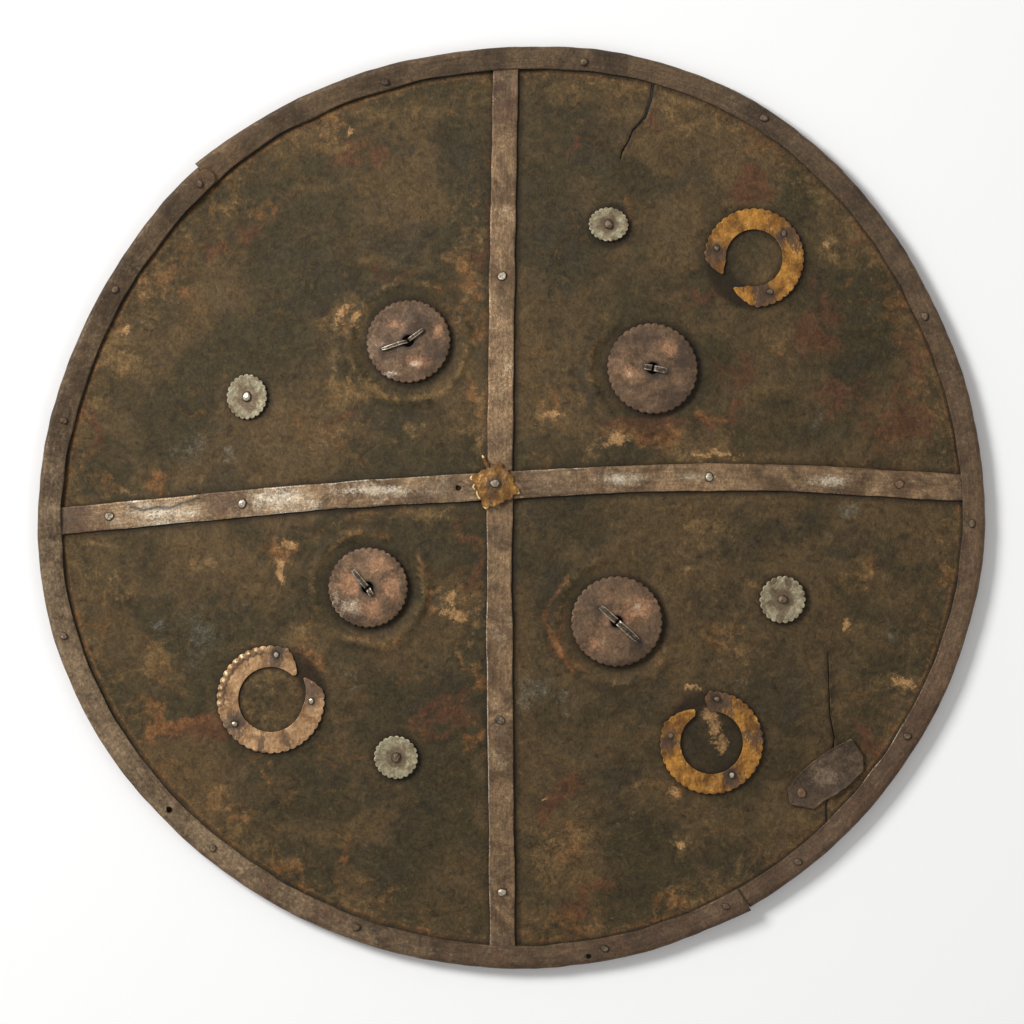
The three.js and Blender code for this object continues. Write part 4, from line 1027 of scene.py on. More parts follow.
# start and end: the tip's bearing and reach, then the bearings at which the band has its full outer
# and inner radius; stains: bearing and spread; beads: the bearings between which the edge is beaded;
# nails: places about its middle, shine: how bright each nail is
crescents = [
    dict(name="upper_right", x=128.5, y=131.9, outer=25.9, inner=15.6, finish="brass",
         start=(235.6, 19.3, 272, 257), end=(566.5, 18.8, 540, 547),
         nails=((-20.1, 5), (15.5, 12.9), (8.1, -18.3)), shine=(0.05, 0.05, 0.3),
         stains=((30, 16), (175, 14), (283, 18)), beads=None),
    dict(name="lower_left", x=-126.9, y=-101.4, outer=28.1, inner=17.7, finish="pinkBrass",
         start=(44.3, 18.9, 71, 48), end=(392.9, 21.1, 369, 347),
         nails=((3.3, 23.9), (21.6, -0.5), (-18.9, -12.7)), shine=(0.9, 0.9, 0.6),
         stains=((80, 12), (16, 14), (212, 14), (258, 4), (290, 4)), beads=(95, 190)),
    dict(name="lower_right", x=105.9, y=-124.2, outer=26.9, inner=17.1, finish="brass",
         start=(117, 19.4, 158, 122), end=(459, 23.5, 453, 455),
         nails=((-21.9, 4), (10.5, -16.9), (2.6, 23.3)), shine=(0.0, 0.9, 0.1),
         stains=((85, 26), (180, 8), (300, 12), (10, 14)), beads=None),
]
plate = {
    "corners": [(147.5, -157.3), (160.5, -159.7), (165.3, -155.5), (171.6, -152.3), (180.1, -146.0),
                (186.6, -139.2), (186.4, -131.6), (180.1, -122.1), (173.7, -125.3), (167.9, -128.4),
                (158.4, -135.3), (151.0, -142.2), (146.2, -149.6)],
    "thickness": 1.1, "rivet": (153.4, -150.7), "fold": [(180.1, -122.1), (170.6, -133.2)],
    "bright": [(178, -148.6, 1.6, 1.0)], "pale": [(166, -143, 7, 5)],
    "rivetLook": dict(wear=0.3, grime=0.4, finish="washerIron", flat=0.3),
}
cracks = [
    dict(widths=(1.6, 0.5), points=[(75.6, 226), (73.9, 215.3), (71, 206.5), (64.1, 198.9), (62, 193.5),
                                    (58.8, 188.3), (57.7, 183.8)]),
    dict(widths=(1.1, 0.4), points=[(167.2, -171), (166.7, -158.1), (168.5, -147), (170.9, -121.6),
                                    (168.4, -109.4), (167.4, -76.5)]),
]
rosettePlace = (-8.4, 12.6)
hideBoard = {
    "around": 600, "front": 128, "edge": 3, "back": 26,      # points round it, and along each ray
    "tries": 8, "hole": 1.45, "bulge": 0.8,
    "moat": 5.5, "moatDepth": 0.6, "ridge": 7.0, "ridgeHeight": 1.3,
    # painted places are soft ovals: x, y, half width, half height
    # grooves on an arc: middle, radius, bearings, depth, width
    "arcs": [(74.4, 73.1, 41.3, 165, 235, 0.55, 2.2), (-54, 87.4, 35.0, -30, 330, 0.3, 1.6),
             (-75.2, -42.1, 39.0, 80, 215, 0.4, 2.4), (55.6, -59.9, 32.7, 25, 80, 0.7, 1.8),
             (55.6, -59.9, 36.0, 137, 241, 0.6, 1.6), (-54, 87.4, 44.0, 100, 190, 0.25, 3.0)],
    # creases along lines: points, depth, width
    "lines": [([(-109, 202), (-105, 195), (-142, 179)], 0.3, 1.0),
              ([(23.3, -70.7), (28.1, -81.8)], 0.5, 1.6), ([(96, 33), (99, 45), (110, 62)], 0.4, 1.6),
              ([(12, 75), (16, 60), (14, 40)], 0.3, 2.5)],
    "ochre": [(-191, 115, 21, 16), (-211, 82, 14, 18), (-144, 158, 20, 10), (-96, 195, 29, 9),
              (-86, 101, 14, 11), (-92, 72, 10, 14), (-22, 110, 7, 64), (-17, 46, 7, 32),
              (-80, 62, 20, 10), (-96, 36, 18, 10), (-52, 38, 8, 6), (-207, 10, 16, 5),
              (-162, -32, 6, 7), (-213, -22, 9, 6), (-205, -46, 8, 5), (-119, -26, 9, 15),
              (-48, -4, 21, 6), (-108, -72, 13, 10), (-190, -84, 10, 8), (23, 52, 12, 14),
              (60, 33, 20, 10), (95, 29, 28, 7), (98, -8, 14, 8), (93, -26, 7, 5), (226, -32, 5, 13),
              (207, -90, 10, 8), (186, -95, 7, 4), (127, -44, 3, 12), (119, -70, 12, 14),
              (26, -180, 16, 16), (95, -206, 26, 7), (92, -178, 12, 9), (-60, -208, 16, 4),
              (-150, -158, 16, 8), (-110, -190, 14, 3), (92, 206, 13, 6), (118, 196, 11, 7),
              (165, 136, 5, 9), (146, 86, 6, 7), (192, 104, 9, 9), (68, -155, 8, 5), (-30, -54, 7, 6),
              (198, 15, 14, 7), (185, -36, 12, 8), (-22, -60, 7, 32)],
    "rust": [(182, 137, 9, 10), (163, 95, 10, 20), (212, 78, 9, 15), (178, 56, 16, 10),
             (205, 47, 15, 15), (122, 74, 12, 11), (108, 50, 13, 8), (100, 106, 14, 8),
             (72, 202, 10, 9), (30, 196, 7, 6), (125, 168, 16, 8), (68, 41, 18, 9), (24, -158, 10, 14),
             (-157, 139, 16, 10), (-14, 150, 5, 32), (-62, 123, 14, 4), (-96, 46, 11, 7),
             (-82, 190, 12, 11), (-22, -28, 8, 16), (-224, 40, 8, 20), (26, -70, 7, 16),
             (-165, -118, 26, 9), (-30, -106, 11, 14), (-40, -120, 8, 6), (190, -123, 11, 11),
             (40, -205, 16, 8)],
    "soot": [(-27, 184, 14, 21), (-56, 144, 14, 14), (-60, 190, 14, 8), (-67, 44, 16, 10),
             (60, -146, 16, 10), (-157, 9, 21, 11), (21, -44, 13, 21), (-146, -62, 9, 8),
             (40, 196, 21, 16), (26, 142, 16, 32), (182, 72, 10, 8), (142, -97, 26, 24),
             (-101, 120, 21, 16), (-96, 4, 32, 6), (100, -54, 21, 14), (-43, -102, 16, 16),
             (-65, -155, 18, 16), (-92, -138, 14, 10), (-60, -192, 20, 10), (68, -102, 16, 16),
             (201, -28, 14, 14), (121, -187, 21, 11), (15, 4, 11, 8), (100, 172, 14, 9),
             (38, 62, 6, 17), (145, -12, 16, 12), (118, -22, 20, 8), (182, -20, 14, 8)],
    "flake": [(-87, 100, 5, 3), (-79, 98, 3, 5), (-31, -58, 5, 5), (-29, -47, 2.4, 6),
              (104.5, -110, 3.2, 6), (107, -117, 4.5, 6), (110.5, -124, 6.5, 5), (113.5, -128, 5.5, 4),
              (84, -150, 4, 3), (176.5, -60, 3, 4), (207, -90, 5, 4), (-142, 161, 6, 1.4),
              (-86, 201, 3, 1.6), (-204, 92, 3, 4), (23, 51, 4, 3), (-118, -19, 5, 4),
              (-121, -33, 3, 6), (92, -177, 4, 3), (56, 33, 9, 4), (110, 28, 14, 2), (18, -151, 5, 2),
              (165, 137, 2.4, 5), (97, -95, 5, 2)],
    "orange": [(100, 52, 10, 6), (-186, 12, 9, 7), (-20, 60, 5, 22), (-22, -84, 4, 14),
               (-22, -122, 5, 10), (-105, -72, 9, 8), (-182, -115, 15, 6), (-150, -107, 10, 4),
               (-123, -142, 4, 5), (-88, -183, 5, 3), (59, 151, 4, 7), (18, 62, 5, 5), (183, 150, 4, 4),
               (-30, 214, 5, 3), (84, -150, 8, 7), (70, 34, 20, 6), (-118, -26, 6, 12), (-34, -56, 6, 8)],
    # pale bluish patches of painted sheen
    "paintedSheen": [(-90, -87, 4, 13), (-76, -69, 12, 3), (-168, -68, 15, 16), (-168, 33, 12, 10),
              (-150, 24, 9, 5), (12, -100, 9, 14), (180, -8, 10, 9), (160, 46, 9, 10),
              (118, -92, 10, 6), (200, -68, 8, 8), (30, -104, 9, 6)],
    # orange creases: points, width and strength
    "orangeLines": [([(29.4, -38.2), (21, -50), (16.9, -58.5), (23, -68), (27, -79), (32, -86)], 2.0, 0.75),
                    ([(68.6, -82.4), (76, -78), (80, -69)], 1.8, 0.6),
                    ([(-100, 98), (-93, 104), (-88, 103), (-86, 97), (-87, 93)], 1.4, 0.62),
                    ([(-83, 95), (-79, 101), (-75, 106)], 1.4, 0.66),
                    ([(-69, 126.5), (-58, 124.5), (-47, 124)], 2.6, 0.45),
                    ([(-104, -16), (-96, -9), (-87, -5), (-76, -2)], 2.4, 0.5)],
}


def fittingDistance(x, y):
    # distance to the edge of the nearest fitting on the face, negative under it
    nearest = np.full(np.shape(x), 1e9)
    for washer in washers:
        nearest = np.minimum(nearest, np.hypot(x - washer["x"], y - washer["y"]) - washer["radius"])
    for disc in discs:
        nearest = np.minimum(nearest, np.hypot(x - disc["x"], y - disc["y"]) - disc["radiusX"])
    for crescent in crescents:
        reach = np.hypot(x - crescent["x"], y - crescent["y"])
        half = (crescent["outer"] - crescent["inner"]) / 2
        nearest = np.minimum(nearest, np.abs(reach - crescent["inner"] - half) - half)
    nearest = np.minimum(nearest, lineDistance(x, y, uprightLine[::12]) - straps["upright"]["width"] / 2)
    nearest = np.minimum(nearest, lineDistance(x, y, levelLine[::12]) - straps["level"]["width"] / 2)
    return nearest


def ringPresence(washer, x, y):
    # 1 where the moulded ring round a washer is left, easing off at both its ends
    return onArc(x - washer["x"], y - washer["y"], *washer["ring"], -8.0, 12.0)


def hideRelief(x, y, clear):
    # slow lumps and small unevenness away from the fittings, moulded rings round the washers, and creases
    flat = flatPoints(x, y)
    free = ease(clear, -1.0, 8.0) * ease(inFromRim(x, y), 0.0, 9.0)
    slow = 0.32 * ripple(flat, 55.0, 51)
    relief = (slow + 0.16 * ripple(flat, 19.0, 52) + 0.07 * ripple(flat, 7.0, 53)) * free
    halfRidge = hideBoard["ridge"] / 2
    varied = 1 + 0.3 * ripple(flat, 22.0, 54)
    for washer in washers:
        reach = np.hypot(x - washer["x"], y - washer["y"]) - washer["radius"]
        ridge = np.clip(1 - np.abs(reach - hideBoard["moat"] - halfRidge) / halfRidge, 0, 1)
        raised = hideBoard["ridgeHeight"] * ringPresence(washer, x, y) * varied * ease(ridge, 0, 1)
        relief = relief + raised - hideBoard["moatDepth"] * bell(reach - 2.6, 2.4)
    shaken = 1.2 * ripple(flat, 30.0, 55)
    for arcX, arcY, radius, start, stop, depth, width in hideBoard["arcs"]:
        # a groove with a low swelling along its outer side
        present = onArc(x - arcX, y - arcY, start, stop, -4.0, 14.0)
        offset = np.hypot(x - arcX, y - arcY) - radius - shaken
        relief = relief + depth * present * (0.7 * bell(offset - width, width) - bell(offset, width))
    for line, depth, width in hideBoard["lines"]:
        relief = relief - depth * bell(lineDistance(x, y, line), width)
    for crack in cracks:
        # both edges of a crack curl up
        relief = relief + 0.35 * bell(lineDistance(x, y, crack["points"]) - 1.6, 1.6)
    return relief


def ringDistance(washer, x, y, flat):
    # how far outside a washer's edge a point lies, a little uneven
    return np.hypot(x - washer["x"], y - washer["y"]) - washer["radius"] - 1.0 * ripple(flat, 26.0, 63)


def insideCrescent(x, y, name):
    # whether a point lies within the inner edge of that crescent
    crescent = next(crescent for crescent in crescents if crescent["name"] == name)
    return np.hypot(x - crescent["x"], y - crescent["y"]) < crescent["inner"]


def hideGrimeAndShade(x, y, flat, clear):
    # a painted shadow line along the rim's inner edge, darker round every fitting with a painted shadow on
    # its lower right side, dirt in the lower right crescent, and darker along the cracks and at the strap's
    # empty hole
    grime = 0.85 * bell(np.maximum(inFromRim(x, y), 0), 1.3) + 0.55 * bell(np.maximum(clear, 0), 2.2)
    # painted shadow cast to the lower right of every fitting
    grime = grime + 0.45 * bell(np.maximum(fittingDistance(x - 1.8, y + 1.0), 0), 1.2)
    grime = grime + 0.5 * insideCrescent(x, y, "lower_right")
    for crack in cracks:
        grime = grime + 0.9 * bell(lineDistance(x, y, crack["points"]), 1.6)
    grime = grime + bell(np.hypot(x - holeX, y - holeY), 4.0)
    outerFoot = hideBoard["moat"] + hideBoard["ridge"]
    for washer in washers:
        # painted shade in the moat at the washer's edge and at the outer foot of the moulded ring
        out = ringDistance(washer, x, y, flat)
        grime = grime + 0.3 * bell(out - 2.0, 2.2) * (out > -2)
        grime = grime + 0.38 * ringPresence(washer, x, y) * bell(out - outerFoot - 0.8, 1.5)
    return np.clip(grime, 0, 1)


def hideCrest(x, y, flat):
    # the broken crest of the moulded rings, painted tan as a highlight
    crest = np.zeros_like(x)
    broken = np.clip(0.55 + 0.4 * ripple(flat, 14.0, 64), 0, 1)
    middle = hideBoard["moat"] + hideBoard["ridge"] * 0.45
    for washer in washers:
        rubbed = ringPresence(washer, x, y) * broken * bell(ringDistance(washer, x, y, flat) - middle, 2.0)
        crest = np.maximum(crest, rubbed)
    return crest


def makeHide():
    # rays from the rosette's rivet hole out to the hide's edge: along its face, round its edge,
    # and back along its back to the hole, so that the skin closes on itself
    middleX, middleY = rosettePlace
    turns = np.linspace(0, 2 * math.pi, hideBoard["around"], endpoint=False)
    dirX, dirY = np.cos(turns), np.sin(turns)
    reach = np.full(len(turns), board["outline"])
    for attempt in range(hideBoard["tries"]):
        # each try moves the ray's end by what it is short of the edge
        tipX, tipY = middleX + reach * dirX, middleY + reach * dirY
        reach = reach + outlineRadius(bearingOf(tipX, tipY)) - board["edgeIn"] - np.hypot(tipX, tipY)
    front, edge, back = hideBoard["front"], hideBoard["edge"], hideBoard["back"]
    share = np.concatenate([np.linspace(0, 1, front), np.ones(edge), np.linspace(1, 0, back)])
    depth = np.concatenate([np.zeros(front), np.linspace(0.2, 0.8, edge), np.ones(back)])
    along = hideBoard["hole"] + share[None, :] * (reach[:, None] - hideBoard["hole"])
    along = along + hideBoard["bulge"] * np.sin(np.pi * depth)[None, :]
    x = middleX + along * dirX[:, None]
    y = middleY + along * dirY[:, None]
    clear = fittingDistance(x, y)
    flat = flatPoints(x, y)
    behind = 0.25 * ripple(flat, 40.0, 56) + 0.1 * ripple(flat, 12.0, 57)
    uneven = np.where(depth > 0.5, behind * ease(reach[:, None] - along, 8, 20), hideRelief(x, y, clear))
    points = onFace(x, y, uneven - depth * board["thickness"])
    # the painted places are read a little aside of each point, so that their outlines come out ragged
    asideX = 4.5 * ripple(flat, 24.0, 58) + 1.8 * ripple(flat, 8.0, 59)
    asideY = 4.5 * ripple(flat, 24.0, 60) + 1.8 * ripple(flat, 8.0, 61)

    def painted(name, aside=1.0):
        # how strongly each point lies in the places of that mark, read that share aside
        return spots(x + aside * asideX, y + aside * asideY, hideBoard[name])

    rimIn = inFromRim(x, y)
    marks = {"rust": painted("rust"), "soot": painted("soot"), "paintedSheen": painted("paintedSheen"),
             "flake": painted("flake", 0.4)}
    # ochre: the painted places, a band in from the rim, and a painted highlight on the crests of the washers'
    # rings
    marks["ochre"] = np.max([0.8 * painted("ochre"), 0.4 * bell(rimIn - 6, 12.0),
                             0.95 * hideCrest(x, y, flat)], axis=0)
    marks["orange"] = np.maximum(0.8 * painted("orange"), 0.6 * bell(rimIn - 2.2, 1.8))
    for line, width, strength in hideBoard["orangeLines"]:
        crease = strength * bell(lineDistance(x + 0.2 * asideX, y + 0.2 * asideY, line), width)
        marks["orange"] = np.maximum(marks["orange"], crease)
    marks["grime"] = hideGrimeAndShade(x, y, flat, clear) * (1 - 0.8 * marks["flake"])
    marks = {key: values * (depth < 0.5) for key, values in marks.items()}
    marks["ochre"] = np.maximum(marks["ochre"], 0.45 * insideCrescent(x, y, "lower_left"))
    return ringPiece("hideBoard", points, marks, rawhide, ["hide_board"])


hide = makeHide()
cutters = [slitCutter(crack["points"], *crack["widths"], -5, 60) for crack in cracks]
cutters.append(rimCutter(rim["bore"], belowRim, 0.08))
cutHoles(hide, cutters)
print("hide board formed,", len(hide.data.polygons), "faces")

# Brass rosette over the crossing

rosette = {
    "sheet": 0.8, "boss": 1.2, "root": 9.4, "curl": 0.7, "hole": 1.5,
    "tips": [(-13.5, 3, 2.5, 1.5), (-12, -2, 1.5, 2), (-9.5, -6.5, 2, 2.5), (13, -5.5, 1.5, 2),
             (-5, -13.5, 2, 1.5)],
    "dark": [(-0.5, -6.3, 2.4, 1.8), (6, 7, 4, 3)],
    "rivet": dict(wear=0.55, grime=0.6),
    # its edge, bearing and reach, worn and bent out of true, with one long tail
    "edge": [(4.5, 9.5), (24, 10.6), (31, 9.3), (42, 9.3), (52, 10.5), (62, 9.0), (76, 11.7), (88, 9.6),
             (100, 10.3), (110.5, 8.2), (112, 16.0), (114, 16.5), (116.5, 15.8), (120, 8.6),
             (135, 10.0), (148, 10.1), (155, 11.9), (167, 13.9), (179, 11.0), (190, 12.2), (202, 10.6),
             (212, 11.4), (223, 11.7), (231, 11.2), (240, 13.6), (251, 14.5), (255, 12.4), (265, 12.3),
             (272, 11.7), (284, 10.7), (295, 10.9), (302, 9.9), (312, 11.7), (321, 11.7), (329, 11.2),
             (337.5, 14.1), (347, 12.8), (352, 10.5)],
}


def makeRosette():
    # a ring from its rivet hole to a ragged edge, read between measured places and rounded a little
    topRows, soleRows = 22, 8
    bearing = np.linspace(0, 360, 480, endpoint=False)
    edge = smoothLoop(np.interp(bearing, *np.array(rosette["edge"]).T, period=360), 7)[:, None]
    bearing = bearing[:, None]
    across = np.concatenate([np.linspace(0, 1, topRows), np.linspace(1, 0, soleRows)])
    isTop = np.concatenate([np.ones(topRows), np.zeros(soleRows)])
    reach = rosette["hole"] + across * (edge - rosette["hole"])
    x, y = polar(bearing, reach)
    flat = flatPoints(x, y)
    boss = rosette["boss"] * np.maximum(0, 1 - (reach / rosette["root"]) ** 2)
    curl = rosette["curl"] * ease(reach, 8.6, 13.5) * (0.4 + 0.6 * np.cos(np.radians(bearing - 215)))
    dents = 0.16 * ripple(flat, 5.0, 61) * ease(reach, 3, 6) + 0.05 * ripple(flat, 2.0, 62)
    base = 2 * (straps["gap"] + straps["thickness"]) + straps["gap"]
    lift = base + boss + curl + dents + rosette["sheet"] * isTop
    points = onFace(x + rosettePlace[0], y + rosettePlace[1], lift)
    # the edge is rubbed, with painted highlights on its left side and its tips, and the long tail is rubbed
    onEdge = ease(across, 0.86, 0.98) * isTop
    leftSide = turnApart(bearing, 215) < 80
    tail = bell(turnApart(bearing, 113), 9) * ease(reach, 13.5, 15.5)
    wear = onEdge * (0.2 + 0.1 * leftSide) + 0.9 * tail + onEdge * spots(x, y, rosette["tips"])
    grime = 0.75 * bell(reach - 3.4, 1.3) + 0.5 * spots(x, y, rosette["dark"])
    marks = {"wear": wear, "grime": np.clip(grime * isTop, 0, 1), "stain": 0.3}
    return ringPiece("rosette", points, marks, brass["rosetteBrass"], ["rosette"])


makeRosette()

# Large scalloped washers and small scalloped discs

# the disc's tooth depth and hole are shares of its radius
washerSheet = {"thickness": 1.2, "dome": 1.4, "teeth": 36, "toothDepth": 1.0, "hole": 3.1}
discSheet = {"thickness": 1.0, "dish": 0.7, "teeth": 22, "toothDepth": 0.09, "hole": 0.13}


def toothReach(bearing, teeth, depth):
    # round teeth with sharp notches: the reach dips by depth between the arches of a folded sine
    return 1 - depth * (1 - np.abs(np.sin(np.radians(bearing * teeth / 2))) ** 0.65)


def discSection(topRows, soleRows, first=0.0, last=0.0):
    # shares across the ring, out over its top from the first, round its edge and back under its sole
    # to the last, and the share down through the sheet that goes with each
    edge = 0.985
    over, back = np.linspace(first, edge, topRows), np.linspace(edge, last, soleRows)
    across = np.concatenate([over, [1.0, 1.0], back])
    under = np.concatenate([np.zeros(topRows), [0.25, 0.75], np.ones(soleRows)])
    return across, under


def makeWasher(washer, seed):
    # a domed ring with a scalloped edge, crimped a little at each notch, slightly dented
    teeth, hole, thickness = washerSheet["teeth"], washerSheet["hole"], washerSheet["thickness"]
    bearing = np.linspace(0, 360, 576, endpoint=False)[:, None]
    across, under = discSection(24, 8)
    radius = washer["radius"]
    draw = np.random.default_rng(seed)
    tooth = toothReach(bearing + draw.uniform(0, 10), teeth, washerSheet["toothDepth"] / radius)
    outer = radius * tooth * (1 + 0.006 * np.cos(np.radians(2 * bearing + seed * 50)))
    reach = hole + across * (outer - hole)
    x, y = polar(bearing, reach)
    flat = flatPoints(x, y)
    dome = washerSheet["dome"] * (1 - (reach / radius) ** 2)
    notch = 1 - toothReach(bearing, teeth, 1.0)
    crimp = -0.35 * ease(reach, radius - 3.2, radius) * (0.35 + 0.65 * notch)
    dents = (0.16 * ripple(flat, 13.0, seed) + 0.06 * ripple(flat, 5.0, seed + 1)) * ease(reach, 3, 7)
    uneven = np.where(under > 0.5, 0, np.maximum(crimp + dents, -0.25 - dome * 0.2))
    z = dome + uneven + thickness * (1 - under)
    points = standing(np.stack([x, y, z], axis=-1), washer["x"], washer["y"], straps["gap"])
    # bright on the edge and where rubbed, dark round the hole, in patches and along the pin's legs
    wear = 0.38 * ease(across, 0.93, 0.985) * (1 - under) + 0.75 * spots(x, y, washer["bright"])
    grime = 0.85 * bell(reach - hole, 1.6) * (1 - under) + 0.25 * bell(across - 0.9, 0.03)
    grime = grime + 0.45 * spots(x, y, washer["dark"]) * (1 - under)
    for legAt, legLength in washer["legs"]:
        legLine = [(0.0, 0.0), polar(legAt, legLength)]
        grime = grime + 0.5 * bell(lineDistance(x, y, legLine), washer["width"] / 2 + 0.7)
    marks = {"wear": wear, "grime": np.clip(grime, 0, 1), "pale": spots(x, y, washer["pale"])}
    ringPiece(f"washer.{washer['name']}", points, marks, iron["washerIron"],
              [f"washer_{washer['name']}"])


def makeDisc(disc, seed):
    # a dished ring with round teeth, a little out of true
    teeth, hole = discSheet["teeth"], discSheet["hole"]
    bearing = np.linspace(0, 360, 352, endpoint=False)[:, None]
    across, under = discSection(18, 6)
    outer = toothReach(bearing + seed, teeth, discSheet["toothDepth"])
    reach = hole + across * (outer - hole)
    unitX, unitY = polar(bearing, reach)
    x, y = unitX * disc["radiusX"], unitY * disc["radiusY"]
    flat = flatPoints(x, y)
    dish = discSheet["dish"] * reach**2
    creases = 0.1 * np.cos(np.radians(bearing * teeth)) * ease(reach, 0.72, 1.0)
    dents = 0.07 * ripple(flat, 5.0, seed) * (1 - under)
    z = dish + discSheet["thickness"] * (1 - under) + (creases + dents) * (1 - under)
    points = standing(np.stack([x, y, z], axis=-1), disc["x"], disc["y"], straps["gap"])
    onEdge = ease(across, 0.9, 0.985) * (1 - under)
    # brown round the rivet and in patches
    brown = 0.9 * bell(reach - 0.28, 0.19) * (1 - under)
    brown = brown + 0.5 * ease(ripple(flat, 7.0, seed + 2), 0.3, 1.4) * (1 - under)
    marks = {"wear": 0.4 * onEdge, "grime": np.clip(0.3 * brown, 0, 1), "rust": 2.4 * brown,
             "pale": 0.5 * onEdge}
    ringPiece(f"disc.{disc['name']}", points, marks, iron["paleMetal"],
              [f"disc_{disc['name']}"])


for index, washer in enumerate(washers):
    makeWasher(washer, 71 + 3 * index)
for index, disc in enumerate(discs):
    makeDisc(disc, 91 + 5 * index)

# Split pins: one folded strip with an eye behind and two legs spread on the face

pin = {"strip": 1.3, "eye": 10.4, "neck": 3.0, "bend": 1.3}


def pinLine(firstLength, secondLength, top):
    # the strip's middle line in its own plane: a leg, a bend, the shank, the eye, and back up
    strip, bend = pin["strip"], pin["bend"]
    side = (strip + straps["gap"]) / 2
    eyeRadius = (pin["eye"] + strip) / 2
    neck = -(2 * straps["gap"] + board["thickness"] + pin["neck"])
    opening = math.asin(side / eyeRadius)
    eyeCentre = neck - eyeRadius * math.cos(opening)
    bendTurn = np.radians(np.linspace(90, 0, 7))
    rise = top + strip / 2

    def leg(length):
        # straight in from its tip, round the bend, and down the shank
        run = np.linspace(length, side + bend, 16)
        straight = np.stack([run, np.full(16, rise)], axis=1)[:-1]
        corner = np.stack([side + bend - bend * np.cos(np.pi / 2 - bendTurn),
                           rise - bend + bend * np.sin(bendTurn)], axis=1)
        shank = np.stack([np.full(10, side), np.linspace(rise - bend - 0.5, neck + 1.2, 10)], axis=1)
        return np.concatenate([straight, corner, shank])

    # a turn of 0.22 at each end leaves room between the eye and the shank
    eyeTurn = np.linspace(math.pi / 2 - opening - 0.22, -1.5 * math.pi + opening + 0.22, 34)
    eye = np.stack([eyeRadius * np.cos(eyeTurn), eyeCentre + eyeRadius * np.sin(eyeTurn)], axis=1)
    return np.concatenate([leg(firstLength), eye, leg(secondLength)[::-1] * [-1, 1]])


def makePin(washer, seed):
    # a small rectangle with eased corners carried along the pin's line, each leg turned to its own bearing
    (firstAt, firstLength), (secondAt, secondLength) = washer["legs"]
    top = straps["gap"] + washerSheet["thickness"] + washerSheet["dome"]
    line = pinLine(firstLength, secondLength, top)
    normal = leftOf(line)
    section = barSection(washer["width"], pin["strip"], 0.25, 4) - [0, pin["strip"] / 2]
    across, out = section[None, :, 0], section[None, :, 1]
    fromTip = np.minimum(np.arange(len(line)), np.arange(len(line))[::-1])
    taper = 1 - 0.35 * bell(fromTip, 2.0)[:, None]
    x = line[:, :1] + normal[:, :1] * out * taper
    y = across * taper
    z = line[:, 1:] + normal[:, 1:] * out * taper
    local = np.stack([x, y, z], axis=-1)
    bent = (np.abs(x) > 1.7) & (z > top - pin["strip"])
    turn = np.radians(np.where(bent & (x < 0), secondAt - 180 - firstAt, 0))
    fall = np.where(bent, washerSheet["dome"] * (x / washer["radius"]) ** 2, 0)
    rough = 0.07 * ripple(local, 4.0, seed)
    turned = np.stack([x * np.cos(turn) - y * np.sin(turn), x * np.sin(turn) + y * np.cos(turn),
                       z - fall + rough], axis=-1)
    points = standing(turned, washer["x"], washer["y"], straps["gap"], firstAt)
    # a painted highlight: the legs' tops paler and brighter along their edges; darker at the middle, where
    # the pin goes down into the hole
    onTop = z > top - 0.2
    marks = {"wear": 0.75 * onTop * (np.abs(across) > washer["width"] * 0.3), "pale": 0.8 * onTop,
             "grime": 0.8 * bell(x, 1.4) * (z < top + 0.5)}
    bandPiece(f"pin.{washer['name']}", points, marks, iron["pinIron"],
              [f"pin_{washer['name']}"])


for index, washer in enumerate(washers):
    makePin(washer, 111 + index)
print("washers, discs and pins fitted")

# Brass crescents

crescentSheet = {"thickness": 0.8, "pitch": 4.2, "toothDepth": 1.0, "halfTip": 0.5, "nailLength": 3.5}


